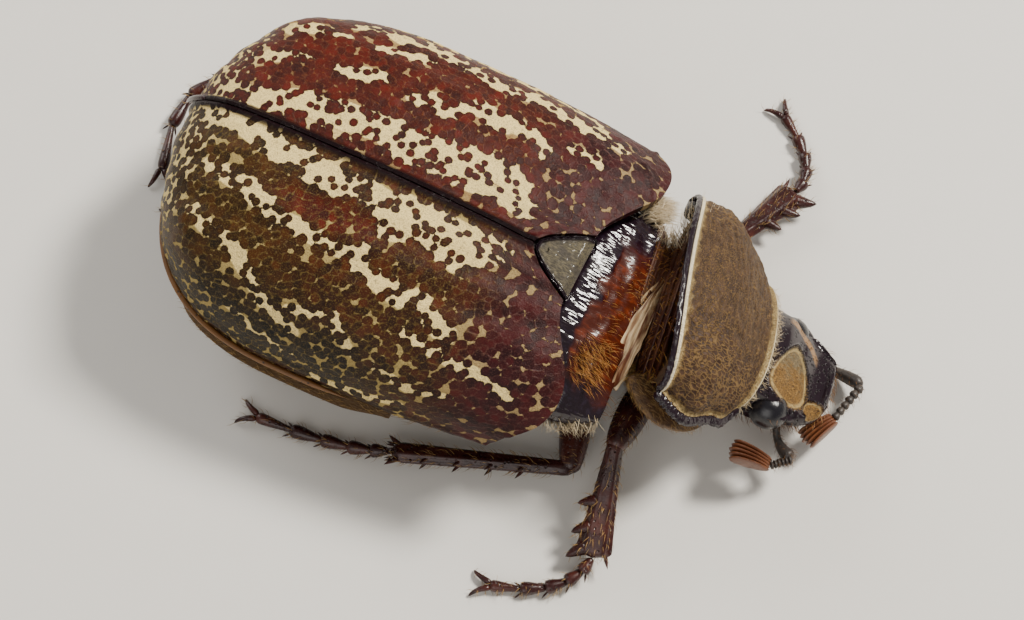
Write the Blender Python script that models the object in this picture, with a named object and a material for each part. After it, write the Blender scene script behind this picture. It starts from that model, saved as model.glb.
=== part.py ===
"""A life-size scaled chafer, a large scarab beetle, at rest on its belly with its prothorax sunk forward.

The head points along +X, the left side is +Y and the floor is z = 0. The origin is the middle of
the flat of the breast that rests on the floor. All sizes below are in millimetres, and MM turns
them into Blender's metres.
"""

from math import acos, atan2, cos, pi, radians, sin

import bmesh
import bpy
from mathutils import Matrix, Vector

MM = 0.001
GAP = 0.3

# The pair of elytra, closed over the back
APEX_X = -17.4
APEX_SHARE = 0.985
WIDEST_X = -8.3
SHOULDER_X = 4.8
SHOULDER_CORNER = 2.2
ELYTRA_HALF_WIDTH = 8.95
SHOULDER_TAPER = 0.11
TAIL_ROUNDING = 2.45
BACK_ROUNDING = 4.2
EDGE_Z = 4.9
SHOULDER_EDGE_RISE = 0.5
BACK_Z = 10.3
SHOULDER_BACK_DROP = 1.7
SECTION_POWER = 0.87
TUCK_DEGREES = 99
TUCK_DEPTH = 0.35
SHELL = 0.55

# The scutellum, a small shield between the front ends of the elytra
SCUTELLUM_TIP_X = 0.8
SCUTELLUM_FRONT_X = 3.0
SCUTELLUM_HALF_WIDTH = 1.6
SCUTELLUM_THICKNESS = 0.8
SCUTELLUM_RIM = 0.3

# The trunk under the elytra
UNDER_SHELL = 1.15
SHELF_DROP = 0.85
SIDE_DROP = 1.3
BELLY_OVERHANG = 0.25
BREAST_INSET = 0.5
ABDOMEN_FRONT_X = -2.8
TAIL_X = -16.9
TAIL_START_X = -13.2
TAIL_Z = 4.2
BELLY_LIFT_X = -11.5
BELLY_LIFT = 2.2
PYGIDIUM_X = -15.4
PYGIDIUM_SLOPE = 0.35
BELLY_FLAT = 1.6
KEEL_POWER = 0.55
BELLY_POWER = 0.75
BELLY_BLEND_X = -9.0
STERNITE_STEP = 0.2
STERNITES = 6
METATHORAX_FRONT_X = 2.7
MESOTHORAX_FRONT = (5.7, 0.0, 5.8)
MESOTHORAX_SLOPE = 25
MESOTHORAX_YAW = 12
MESOTHORAX_LENGTH = 3.4
MESOTHORAX_HALF_WIDTH = 6.1
MESOTHORAX_MIDDLE_Z = 4.9
MESOTHORAX_FALL = 1.9
NECK_START = (5.4, 1.3, 5.0)
NECK_END = (0.6, 0.0, -1.4)
NECK_HALF_WIDTH = 2.9
NECK_HALF_HEIGHT = 1.3

# The prothorax, sunk forward, with its right side raised a little
PROTHORAX_PLACE = (7.0, 1.8, 6.0)
PROTHORAX_YAW = 3
PROTHORAX_PITCH = 38
PROTHORAX_ROLL = -20
PRONOTUM_HIND_HALF = 5.7
PRONOTUM_WIDEST_HALF = 6.0
PRONOTUM_FRONT_HALF = 3.6
PRONOTUM_LENGTH = 4.9
PRONOTUM_BULGE = 1.4
PRONOTUM_CORNER = 0.15
PRONOTUM_HEIGHT = 2.9
PROTHORAX_RECESS = 0.6
PROTHORAX_RIM = 0.7
PROSTERNUM_INSET = 0.45
PROSTERNUM_DEPTH = 2.2
PROSTERNUM_POWER = 1.6
FRONT_COXA_PLACE = (2.4, 1.7, -3.4)

# The head, on the front of the prothorax
HEAD_PLACE = (4.6, -0.35, 0.1)
HEAD_YAW = -8
HEAD_PITCH = -20
HEAD_LENGTH = 4.7
HEAD_HALF_WIDTH = 3.2
CLYPEUS_HALF_WIDTH = 2.7
CHEEK_Y = 2.65
EYE_X = 2.1
EYE_RADIUS = 0.95
MOUTH_Z = -0.95
MOUTH_SIZE = (1.3, 1.0, 0.6)
MOUTH_X = 2.7
PALP_ROOT = (2.2, 1.3, -1.5)
PALP_TIP = (0.6, 2.0, -1.75)
PALP_RADIUS = 0.26

# Feelers of the head in its own frame, from their roots under it, round their elbows, to their tips
# and to the ends of their clubs. The left one reaches out in front and the right one is folded back.
FEELERS = {
    "left": {
        "root": (3.0, 2.1, -1.05), "turn": (4.6, 3.3, -1.5), "elbow": (6.1, 1.4, 0.3),
        "tip": (5.5, -0.5, -0.6), "club": (4.5, -2.1, -1.4),
    },
    "right": {
        "root": (3.0, -2.1, -1.05), "turn": (3.3, -2.5, -2.0), "elbow": (4.3, -3.3, -1.5),
        "tip": (3.5, -3.9, -1.9), "club": (1.3, -4.1, -1.9),
    },
}
FEELER_RADIUS = (0.34, 0.26)
CLUB_RADIUS = (0.5, 0.75)
CLUB_LEAVES = 4

# The legs, with the way the outer edge of each tibia faces. The front legs grow from the prothorax
# and have no root of their own here.
LEGS = {
    "front_right": {
        "knee": (7.4, -5.2, 3.3), "ankle": (8.5, -9.9, 1.0),
        "turn": (8.4, -12.0, 0.3), "claws": (4.6, -13.0, 0.24), "edge": (-1, 0.2, 0.2),
    },
    "front_left": {
        "knee": (7.6, 7.5, 0.9), "ankle": (9.5, 11.6, 0.9),
        "turn": (10.2, 13.6, 0.3), "claws": (7.2, 15.6, 0.24), "edge": (1, -0.2, 0.2),
    },
    "middle_right": {
        "root": (4.2, -1.9, 0.92), "knee": (5.7, -6.4, 1.1), "ankle": (-2.4, -9.3, 1.0),
        "turn": (-4.4, -10.1, 0.3), "claws": (-9.2, -10.3, 0.24), "edge": (0, -1, 0.3),
    },
    "middle_left": {
        "root": (4.2, 1.9, 1.0), "knee": (4.4, 6.6, 1.2), "ankle": (-2.8, 9.5, 1.0),
        "turn": (-4.8, 10.2, 0.3), "claws": (-9.0, 9.7, 0.24), "edge": (0, 1, 0.3),
    },
    "hind_right": {
        "root": (-1.1, -2.8, 0.85), "knee": (-6.4, -7.4, 1.0), "ankle": (-12.8, -6.4, 1.0),
        "turn": (-15.8, -6.3, 0.3), "claws": (-17.8, -3.0, 0.24), "edge": (0, -1, 0.3),
    },
    "hind_left": {
        "root": (-1.1, 2.8, 0.85), "knee": (-7.2, 7.6, 1.0), "ankle": (-15.6, 6.2, 1.0),
        "turn": (-22.4, 5.6, 0.7), "claws": (-19.6, -0.8, 0.24), "edge": (0, 1, 0.3),
    },
}
COXA_RADIUS = 1.15
FRONT_COXA_HEIGHT = 2.0
COXA_CUT = 0.5
FEMUR_RADIUS = {"front": (0.58, 0.76), "middle": (0.55, 0.74), "hind": (0.5, 0.68)}
TIBIA_THICKNESS = 0.34
TIBIA_HALF_WIDTH = {"front": (0.42, 0.95), "middle": (0.42, 0.62), "hind": (0.42, 0.66)}
TOOTH_SHARES = (0.5, 0.72, 0.9)
TOOTH_LENGTH = 1.0
SPINE_SHARES = (0.35, 0.62)
SPINE_LENGTH = 0.75
SPUR_LENGTH = 1.1
TARSUS_RADIUS = 0.33
TARSUS_JOINTS = 5
CLAW_LENGTH = 1.1
CLAW_RADIUS = 0.2

# Colours of the parts, as red, green, blue, then roughness
FINISHES = {
    "elytra": ((0.16, 0.045, 0.03), 0.4),
    "pronotum": ((0.17, 0.11, 0.06), 0.55),
    "cuticle": ((0.02, 0.008, 0.012), 0.25),
    "membrane": ((0.22, 0.06, 0.025), 0.35),
    "belly": ((0.2, 0.09, 0.035), 0.5),
    "eye": ((0.008, 0.008, 0.012), 0.12),
    "feeler": ((0.16, 0.06, 0.03), 0.4),
}


def clear_scene():
    for obj in list(bpy.data.objects):
        bpy.data.objects.remove(obj)


# Shapes


def finish_material(name):
    """The named finish, made once."""
    made = bpy.data.materials.get(name)
    if made:
        return made
    colour, roughness = FINISHES[name]
    made = bpy.data.materials.new(name)
    made.use_nodes = True
    shader = made.node_tree.nodes["Principled BSDF"]
    shader.inputs["Base Color"].default_value = (*colour, 1)
    shader.inputs["Roughness"].default_value = roughness
    shader.inputs["Metallic"].default_value = 0
    return made


def to_object(name, bm, finish, matrix=None):
    """Turns a shape in millimetres into a placed object."""
    bmesh.ops.recalc_face_normals(bm, faces=bm.faces)
    if bm.calc_volume(signed=True) < 0:
        bmesh.ops.reverse_faces(bm, faces=bm.faces)
    mesh = bpy.data.meshes.new(name)
    bm.to_mesh(mesh)
    bm.free()
    mesh.transform(Matrix.Scale(MM, 4))
    mesh.materials.append(finish_material(finish))
    mesh.shade_smooth()
    mesh.set_sharp_from_angle(angle=radians(40))
    obj = bpy.data.objects.new(name, mesh)
    bpy.context.scene.collection.objects.link(obj)
    if matrix:
        obj.matrix_world = in_metres(matrix)
    return obj


def in_metres(matrix):
    place = matrix.copy()
    place.translation = matrix.translation * MM
    return place


def between(low, high, share):
    return low + (high - low) * share


def along(stations, position):
    """The value at a position in a list of (position, value) pairs, eased between them."""
    if position <= stations[0][0]:
        return stations[0][1]
    for (start, first), (end, second) in zip(stations, stations[1:]):
        if position <= end:
            share = (position - start) / (end - start)
            return between(first, second, share * share * (3 - 2 * share))
    return stations[-1][1]


def power(value, exponent):
    """A signed power, which squares off a sine or a cosine."""
    return abs(value) ** exponent * (1 if value >= 0 else -1)


def rounded(share, exponent):
    """Falls from 1 at share 0 to 0 at share 1 along a rounded corner."""
    return (1 - min(max(share, 0), 1) ** exponent) ** (1 / exponent)


def ball(place, steps, sides):
    """A closed shape: a sphere whose point at a share from pole to pole and an angle round it is moved."""
    bm = bmesh.new()
    bmesh.ops.create_uvsphere(bm, u_segments=sides, v_segments=steps, radius=1)
    for vert in bm.verts:
        x, y, z = vert.co
        share = round(acos(max(-1, min(1, z))) / pi * steps) / steps
        vert.co = Vector(place(share, atan2(y, x)))
    return bm


def limb(centre_line, radii, edge, steps, sides, stretch=0.0):
    """A closed limb along a curve. Its radii across and along the given edge come from radii(share)."""
    turn = pi / sides

    def place(share, angle):
        reach = between(-stretch, 1 + stretch, share)
        centre = centre_line(reach)
        ahead = (centre_line(reach + 0.01) - centre_line(reach - 0.01)).normalized()
        wide_way = (edge - ahead * edge.dot(ahead)).normalized()
        thick_way = ahead.cross(wide_way)
        if share in (0, 1):
            return centre
        wide, thick = radii(share)
        end = min(share, 1 - share) * steps
        closing = 0.6 if end < 1.5 else 1.0
        across = wide_way * (wide * closing * cos(angle + turn))
        return centre + across + thick_way * (thick * closing * sin(angle + turn))

    return ball(place, steps, sides)


def line(start, end, bow=Vector((0, 0, 0))):
    """A centre line from start to end, bowed at its middle."""

    def centre(share):
        inside = min(max(share, 0), 1)
        return start + (end - start) * share + bow * (4 * inside * (1 - inside))

    return centre


def bend(start, corner, end):
    """A smooth centre line from start past a corner to end."""

    def centre(share):
        if share < 0:
            return start + (corner - start) * (2 * share)
        if share > 1:
            return end + (end - corner) * (2 * (share - 1))
        return start * (1 - share) ** 2 + corner * (2 * share * (1 - share)) + end * share**2

    return centre


def cut_flat(bm, point, outward):
    """Cuts away what lies on the outward side of a plane, and closes the cut with a flat face."""
    geometry = bm.verts[:] + bm.edges[:] + bm.faces[:]
    cut = bmesh.ops.bisect_plane(
        bm, geom=geometry, dist=0.0001, plane_co=point, plane_no=outward, clear_outer=True
    )
    rim = [item for item in cut["geom_cut"] if isinstance(item, bmesh.types.BMEdge)]
    bmesh.ops.holes_fill(bm, edges=rim, sides=0)


def spike(root, tip, radius, sides=5):
    """A tapered spine whose root is sunk into what it grows from."""
    way = (tip - root).normalized()
    bm = bmesh.new()
    bmesh.ops.create_cone(
        bm, cap_ends=True, segments=sides, radius1=radius, radius2=radius * 0.25,
        depth=(tip - root).length,
    )
    turn = Vector((0, 0, 1)).rotation_difference(way).to_matrix().to_4x4()
    bmesh.ops.transform(bm, matrix=Matrix.Translation((root + tip) / 2) @ turn, verts=bm.verts)
    return bm


def fuse(name, shapes, finish, matrix=None):
    """Joins closed shapes into one object, and keeps its largest closed surface."""
    whole = to_object(name, shapes[0], finish)
    if len(shapes) > 1:
        others = bpy.data.collections.new(name + "_roots")
        bpy.context.scene.collection.children.link(others)
        for number, shape in enumerate(shapes[1:]):
            extra = to_object(f"{name}_root{number}", shape, finish)
            bpy.context.scene.collection.objects.unlink(extra)
            others.objects.link(extra)
        union = whole.modifiers.new("union", "BOOLEAN")
        union.operation = "UNION"
        union.operand_type = "COLLECTION"
        union.collection = others
        union.solver = "MANIFOLD"
        graph = bpy.context.evaluated_depsgraph_get()
        joined = bpy.data.meshes.new_from_object(whole.evaluated_get(graph))
        whole.modifiers.clear()
        whole.data = joined
        joined.name = name
        for extra in list(others.objects):
            bpy.data.objects.remove(extra)
        bpy.data.collections.remove(others)
    keep_largest(whole.data)
    if matrix:
        whole.matrix_world = in_metres(matrix)
    return whole


def keep_largest(mesh):
    """Leaves only the connected surface with the most vertices."""
    bm = bmesh.new()
    bm.from_mesh(mesh)
    left = set(bm.verts)
    groups = []
    while left:
        group = [left.pop()]
        for vert in group:
            for edge in vert.link_edges:
                other = edge.other_vert(vert)
                if other in left:
                    left.remove(other)
                    group.append(other)
        groups.append(group)
    groups.sort(key=len)
    for group in groups[:-1]:
        bmesh.ops.delete(bm, geom=group, context="VERTS")
    bm.to_mesh(mesh)
    bm.free()


def rest_on_floor(bm):
    """Flattens what would reach below the floor."""
    for vert in bm.verts:
        vert.co.z = max(vert.co.z, 0)


# Elytra


def half_width(x):
    """Half the width of the closed elytra at x."""
    if x > WIDEST_X:
        share = (x - WIDEST_X) / (SHOULDER_X - WIDEST_X)
        return ELYTRA_HALF_WIDTH * (1 - SHOULDER_TAPER * share**2.2)
    return ELYTRA_HALF_WIDTH * rounded((WIDEST_X - x) / (WIDEST_X - APEX_X), TAIL_ROUNDING)


def edge_height(x):
    """Height of the elytra's side edge."""
    share = max(0, x - WIDEST_X) / (SHOULDER_X - WIDEST_X)
    return EDGE_Z + SHOULDER_EDGE_RISE * share**2


def back_height(x):
    """Height of the suture, the line along the middle of the back."""
    if x > WIDEST_X:
        share = (x - WIDEST_X) / (SHOULDER_X - WIDEST_X)
        return BACK_Z - SHOULDER_BACK_DROP * share**2
    tall = BACK_Z - EDGE_Z
    return EDGE_Z + tall * rounded((WIDEST_X - x) / (WIDEST_X - APEX_X), BACK_ROUNDING)


def dome(x, angle, inset=0.0):
    """A point of the back at an angle from the suture, 0, down to the side edge, 90 degrees."""
    wide = max(half_width(x) - inset, 0)
    tall = max(back_height(x) - edge_height(x) - inset, 0)
    lift = power(cos(angle), SECTION_POWER)
    if lift < 0:
        lift *= TUCK_DEPTH
    return Vector((x, wide * power(sin(angle), SECTION_POWER), edge_height(x) + tall * lift))


def elytron_front(across):
    """Where the front edge of an elytron lies at a distance from the middle.

    It runs round the scutellum, then straight to the shoulder and round its corner.
    """
    beside = SCUTELLUM_HALF_WIDTH + 1.5 * GAP
    corner = half_width(SHOULDER_X) - SHOULDER_CORNER
    if across < beside:
        return between(SCUTELLUM_TIP_X - 2.4 * GAP, SCUTELLUM_FRONT_X + GAP, (across / beside) ** 0.85)
    if across < corner:
        return along([(beside, SCUTELLUM_FRONT_X + GAP), (corner, SHOULDER_X)], across)
    return SHOULDER_X - SHOULDER_CORNER * ((across - corner) / SHOULDER_CORNER) ** 2.4


def make_elytron(name, side):
    """One wing case: a sheet over half of the back, given its thickness inwards."""
    rows, columns = 18, 12
    last_x = between(WIDEST_X, APEX_X, APEX_SHARE)
    bm = bmesh.new()
    bmesh.ops.create_grid(bm, x_segments=rows, y_segments=columns, size=1)
    for vert in bm.verts:
        back, out = (vert.co.x + 1) / 2, (vert.co.y + 1) / 2
        angle = out * radians(TUCK_DEGREES)
        front = SHOULDER_X
        for _ in range(3):
            front = elytron_front(half_width(front) * sin(angle) ** SECTION_POWER)
        if back < 0.5:
            x = between(front, WIDEST_X, back * 2)
        else:
            x = between(WIDEST_X, last_x, sin((back - 0.5) * pi))
        point = dome(x, angle)
        vert.co = (point.x, side * max(point.y, GAP / 2), point.z)
    bm.normal_update()
    top = max(bm.faces, key=lambda face: face.calc_center_median().z)
    if top.normal.z < 0:
        bmesh.ops.reverse_faces(bm, faces=bm.faces)
    thicken(bm, SHELL)
    return to_object(name, bm, "elytra")


def thicken(bm, depth):
    """Closes a sheet into a shell that reaches inwards by the depth, against its faces' way."""
    bm.normal_update()
    inner = {vert: bm.verts.new(vert.co - vert.normal * depth) for vert in bm.verts[:]}
    for face in bm.faces[:]:
        bm.faces.new([inner[vert] for vert in reversed(face.verts)])
    for edge in [edge for edge in bm.edges if len(edge.link_faces) == 1]:
        if edge.verts[0] in inner and edge.verts[1] in inner:
            one, two = edge.verts
            bm.faces.new([one, two, inner[two], inner[one]])


def make_scutellum():
    """The small shield: a rounded triangle whose top is sunk inside a raised rim."""
    steps = 6
    side = []
    for step in range(steps):
        share = 1 - step / steps
        x = between(SCUTELLUM_TIP_X, SCUTELLUM_FRONT_X, share**0.85)
        side.append((x, SCUTELLUM_HALF_WIDTH * share))
    outline = side + [(SCUTELLUM_TIP_X, 0.0)] + [(x, -y) for x, y in reversed(side)]
    bm = bmesh.new()
    rim = [bm.verts.new((x, y, back_height(x))) for x, y in outline]
    top = bm.faces.new(rim)
    base = bmesh.ops.extrude_face_region(bm, geom=[top])
    lowered = [item for item in base["geom"] if isinstance(item, bmesh.types.BMVert)]
    bmesh.ops.translate(bm, verts=lowered, vec=(0, 0, -SCUTELLUM_THICKNESS))
    upper = max(bm.faces, key=lambda face: face.calc_center_median().z)
    bmesh.ops.inset_region(bm, faces=[upper], thickness=SCUTELLUM_RIM, depth=-0.12)
    return to_object("scutellum", bm, "cuticle")


# Trunk


def trunk_point(x, angle, overhang, lift=0.0):
    """A point of the trunk's skin at x, at an angle from the top of the back, 0, to the belly, 180.

    Under the elytra it follows them. At their edge it steps out over a shelf, and below the shelf
    it goes from the round belly behind to the narrow keel of the breast in front.
    """
    turn = abs(angle) / pi
    way = 1 if angle >= 0 else -1
    wall = max(half_width(x) - UNDER_SHELL, 0.3)
    wide = max(half_width(x) + overhang, 0.5)
    shelf_z = edge_height(x) - SHELF_DROP
    side_z = edge_height(x) - SIDE_DROP
    if turn < 0.47:
        point = dome(x, turn / 0.43 * radians(76), UNDER_SHELL)
        return Vector((x, way * point.y, point.z))
    if turn < 0.53:
        return Vector((x, way * wall, shelf_z))
    across = wide * min(1, (1 - turn) / 0.43) ** 0.8
    flat = min(BELLY_FLAT, wide * 0.6)
    spread = max(0, (across - flat) / (wide - flat))
    keel = max(0, min(1, (x - BELLY_BLEND_X) / (ABDOMEN_FRONT_X - BELLY_BLEND_X)))
    rise = between(spread**BELLY_POWER, spread**KEEL_POWER, keel)
    return Vector((x, way * across, lift + (side_z - lift) * rise))


def hind_body(share, angle):
    """A point of the hind body, stepped at each of its belly plates and rounded at the tail."""
    x = between(ABDOMEN_FRONT_X + 0.6, TAIL_X, share)
    plate = share * STERNITES % 1
    step = STERNITE_STEP * max(0, plate - 0.75) / 0.25
    lift = BELLY_LIFT * max(0, (BELLY_LIFT_X - x) / (BELLY_LIFT_X - TAIL_X)) ** 1.5
    point = trunk_point(x, angle, BELLY_OVERHANG - step, lift)
    closing = rounded((TAIL_START_X - x) / (TAIL_START_X - TAIL_X), 2.4)
    return Vector((x, point.y * closing, between(TAIL_Z, point.z, closing)))


def make_abdomen():
    """The hind body up to its last plate."""
    bm = ball(hind_body, 24, 24)
    cut_flat(bm, (ABDOMEN_FRONT_X, 0, 0), (1, 0, 0))
    cut_flat(bm, (PYGIDIUM_X, 0, TAIL_Z), (-1, 0, PYGIDIUM_SLOPE))
    rest_on_floor(bm)
    return to_object("abdomen", bm, "belly")


def make_pygidium():
    """The last plate of the hind body, which closes it under the tips of the elytra."""
    bm = ball(hind_body, 24, 24)
    cut_flat(bm, (PYGIDIUM_X - GAP, 0, TAIL_Z), (1, 0, -PYGIDIUM_SLOPE))
    return to_object("pygidium", bm, "belly")


def coxa(name):
    """The knob that a leg grows from, cut flat where the leg starts."""
    root = leg_root(name)
    out = (Vector(LEGS[name]["knee"]) - root).normalized()
    tall = FRONT_COXA_HEIGHT if name.startswith("front") else COXA_RADIUS

    def place(share, angle):
        ring = COXA_RADIUS * sin(share * pi)
        lift = cos(share * pi)
        lift *= tall if lift > 0 else COXA_RADIUS
        return root + Vector((ring * cos(angle), ring * sin(angle), lift))

    knob = ball(place, 8, 12)
    rest_on_floor(knob)
    cut_flat(knob, root + out * (COXA_RADIUS * COXA_CUT), out)
    return knob


def make_metathorax():
    """The breast under the front half of the elytra, which the hind legs grow from."""

    def place(share, angle):
        x = between(METATHORAX_FRONT_X + 1.75, ABDOMEN_FRONT_X - 1.5, share)
        if share in (0, 1):
            return Vector((x, 0, TAIL_Z))
        return trunk_point(x, angle, -BREAST_INSET)

    bm = ball(place, 9, 29)
    cut_flat(bm, (METATHORAX_FRONT_X, 0, 0), (1, 0, 0))
    cut_flat(bm, (ABDOMEN_FRONT_X + GAP, 0, 0), (-1, 0, 0))
    rest_on_floor(bm)
    return fuse("metathorax", [bm, coxa("hind_right"), coxa("hind_left")], "cuticle")


def mesothorax_front_way():
    """The way the front face of the mesothorax looks: forward, down and a little to the left."""
    slope, yaw = radians(MESOTHORAX_SLOPE), radians(MESOTHORAX_YAW)
    return Vector((cos(slope) * cos(yaw), cos(slope) * sin(yaw), -sin(slope)))


def make_mesothorax():
    """The ring ahead of the elytra, which shows where the prothorax has sunk away from it."""
    back_x = METATHORAX_FRONT_X + GAP
    back_top = back_height(back_x) - UNDER_SHELL

    def place(share, angle):
        x = between(back_x + MESOTHORAX_LENGTH + 2.0, back_x - 1.0, share)
        if share in (0, 1):
            return Vector((x, 0, MESOTHORAX_MIDDLE_Z))
        ahead = max(0, (x - back_x) / MESOTHORAX_LENGTH)
        wide = MESOTHORAX_HALF_WIDTH * (1 - 0.17 * ahead**2)
        top = back_top - MESOTHORAX_FALL * ahead**1.5
        turn = abs(angle)
        across = wide * power(sin(turn), 0.9)
        if turn > pi / 2:
            across *= between(1, 0.3, (turn - pi / 2) / (pi / 2))
        lift = power(cos(turn), 0.9)
        reach = top - MESOTHORAX_MIDDLE_Z if lift > 0 else MESOTHORAX_MIDDLE_Z - 0.5 - ahead
        height = MESOTHORAX_MIDDLE_Z + lift * reach
        return Vector((x, across if angle >= 0 else -across, height))

    bm = ball(place, 11, 28)
    cut_flat(bm, MESOTHORAX_FRONT, mesothorax_front_way())
    cut_flat(bm, (back_x, 0, 0), (-1, 0, 0))
    rest_on_floor(bm)
    return fuse("mesothorax", [bm, coxa("middle_right"), coxa("middle_left")], "cuticle")


# Prothorax and head


def prothorax_frame():
    turn = Matrix.Rotation(radians(PROTHORAX_YAW), 4, "Z")
    turn @= Matrix.Rotation(radians(PROTHORAX_PITCH), 4, "Y")
    turn @= Matrix.Rotation(radians(PROTHORAX_ROLL), 4, "X")
    return Matrix.Translation(PROTHORAX_PLACE) @ turn


def head_frame():
    turn = Matrix.Rotation(radians(HEAD_YAW), 4, "Z") @ Matrix.Rotation(radians(HEAD_PITCH), 4, "Y")
    return prothorax_frame() @ Matrix.Translation(HEAD_PLACE) @ turn


def pronotum_half(share):
    """Half the width of the pronotum from its hind edge, 0, to its front edge, 1."""
    shoulder = between(PRONOTUM_WIDEST_HALF, PRONOTUM_FRONT_HALF, 0.45)
    stations = [(0, PRONOTUM_HIND_HALF), (0.32, PRONOTUM_WIDEST_HALF)]
    return along(stations + [(0.75, shoulder), (1, PRONOTUM_FRONT_HALF)], share)


def pronotum_x(share, across):
    """Place along the pronotum: its hind edge bulges back and its front corners reach forward."""
    hind = -PRONOTUM_BULGE * (1 - across * across) ** 0.8
    corner = max(0, (abs(across) - 0.75) / 0.25) ** 1.5
    return between(hind, PRONOTUM_LENGTH + PRONOTUM_CORNER * corner, share)


def across_and_lift(angle):
    """The place across and the height, both from 0 to 1, of a section that is round above and flat below."""
    if abs(angle) > pi / 2:
        return (pi - abs(angle)) / (pi / 2) * (1 if angle > 0 else -1), 0.0
    return power(sin(angle), 0.95), cos(angle) ** 0.85


def make_pronotum():
    """The shield over the prothorax, hollowed at the back for the neck and solid in front."""
    steps = 14

    def place(share, angle):
        ring = round(share * steps)
        across, lift = across_and_lift(angle)
        station = max(0, min(1, (ring - 2) / (steps - 3)))
        height = PRONOTUM_HEIGHT * along([(0, 0.86), (0.4, 1.0), (1, 0.66)], station)
        x = pronotum_x(station, across)
        half = pronotum_half(station)
        if ring == 0:
            return Vector((PROTHORAX_RECESS, 0, GAP / 2 + height * 0.4))
        if ring == steps:
            return Vector((PRONOTUM_LENGTH, 0, GAP / 2 + height * 0.4))
        if ring == 1:
            inner = max(lift * (height - PROTHORAX_RIM), PROTHORAX_RIM)
            return Vector((PROTHORAX_RECESS, across * (half - PROTHORAX_RIM - 0.2), GAP / 2 + inner))
        return Vector((x, across * half, GAP / 2 + lift * height))

    return to_object("pronotum", ball(place, steps, 28), "pronotum", prothorax_frame())


def make_prosternum():
    """The flanks and underside of the prothorax, which the front legs grow from."""
    steps = 10

    def place(share, angle):
        ring = round(share * steps)
        across, lift = across_and_lift(angle)
        station = max(0, min(1, (ring - 1) / (steps - 2)))
        half = pronotum_half(station) - PROSTERNUM_INSET
        depth = PROSTERNUM_DEPTH * along([(0, 0.8), (0.5, 1), (1, 0.7)], station)
        x = between(PROTHORAX_RECESS, PRONOTUM_LENGTH - 0.1, station)
        if ring in (0, steps):
            return Vector((x, 0, -depth / 2))
        return Vector((x, across * half, -GAP / 2 - lift**PROSTERNUM_POWER * depth))

    frame = prothorax_frame()
    pieces = [ball(place, steps, 28)]
    for name in ("front_right", "front_left"):
        knob = coxa(name)
        bmesh.ops.transform(knob, matrix=frame.inverted(), verts=knob.verts)
        pieces.append(knob)
    return fuse("prosternum", pieces, "belly", frame)


def make_neck():
    """The short membrane between the mesothorax and the prothorax."""
    frame = prothorax_frame()
    ahead = mesothorax_front_way()
    centre_line = line(Vector(NECK_START), frame @ Vector(NECK_END))

    def radii(share):
        return NECK_HALF_WIDTH, NECK_HALF_HEIGHT

    bm = limb(centre_line, radii, Vector((0, 1, 0)), 8, 20, stretch=0.8)
    cut_flat(bm, Vector(MESOTHORAX_FRONT) + ahead * GAP, -ahead)
    back_of_prothorax = frame @ Vector((PROTHORAX_RECESS - GAP, 0, 0))
    cut_flat(bm, back_of_prothorax, frame.to_3x3() @ Vector((1, 0, 0)))
    cut_flat(bm, frame @ Vector((0, 0, -GAP / 2)), frame.to_3x3() @ Vector((0, 0, 1)))
    return to_object("neck", bm, "membrane")


def make_head():
    """The head with its clypeus, a plate with a raised front edge."""
    steps = 15

    def place(share, angle):
        if share in (0, 1):
            return Vector((HEAD_LENGTH * share, 0, 0))
        full = HEAD_HALF_WIDTH
        half = along(
            [(0, full), (0.45, full), (0.65, CLYPEUS_HALF_WIDTH), (0.88, CLYPEUS_HALF_WIDTH * 0.92)], share
        )
        half *= rounded((share - 0.7) / 0.32, 2.3)
        top = along([(0, 1.5), (0.35, 1.3), (0.7, 0.62), (0.86, 0.62), (0.93, 0.8), (1, 0.5)], share)
        bottom = along([(0, 1.6), (0.5, 1.3), (0.9, 0.4)], share)
        lift = power(cos(angle), 0.75)
        height = lift * (top if lift > 0 else bottom)
        return Vector((HEAD_LENGTH * share, half * power(sin(angle), 0.8), height))

    frame = head_frame()
    to_head = frame.inverted() @ prothorax_frame()
    bm = ball(place, steps, 24)
    root = to_head @ Vector((PRONOTUM_LENGTH + PRONOTUM_CORNER / 2 + GAP, 0, 0))
    cut_flat(bm, root, to_head.to_3x3() @ Vector((-1, 0, 0)))
    cut_flat(bm, (0, CHEEK_Y, 0), (0, 1, 0))
    cut_flat(bm, (0, -CHEEK_Y, 0), (0, -1, 0))
    cut_flat(bm, (0, 0, MOUTH_Z), (0, 0, -1))
    return to_object("head", bm, "cuticle", frame)


def make_eye(name, side):
    """An eye: a dome on the flat of the cheek."""
    centre = Vector((EYE_X, side * (CHEEK_Y + GAP - 0.35), 0.1))

    def place(share, angle):
        ring = EYE_RADIUS * sin(share * pi)
        return centre + Vector((ring * cos(angle), EYE_RADIUS * cos(share * pi), ring * sin(angle)))

    bm = ball(place, 10, 16)
    cut_flat(bm, (0, side * (CHEEK_Y + GAP), 0), (0, -side, 0))
    return to_object(name, bm, "eye", head_frame())


def make_mouthparts():
    """The jaws and lower lip: one low lump under the head."""
    long_half, half, depth = MOUTH_SIZE

    def place(share, angle):
        ring = sin(share * pi) ** 0.6
        x = MOUTH_X - long_half * power(cos(share * pi), 0.8)
        return Vector((x, half * ring * sin(angle), MOUTH_Z - GAP + depth * ring * cos(angle)))

    bm = ball(place, 8, 16)
    cut_flat(bm, (0, 0, MOUTH_Z - GAP), (0, 0, 1))
    return to_object("mouthparts", bm, "feeler", head_frame())


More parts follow.
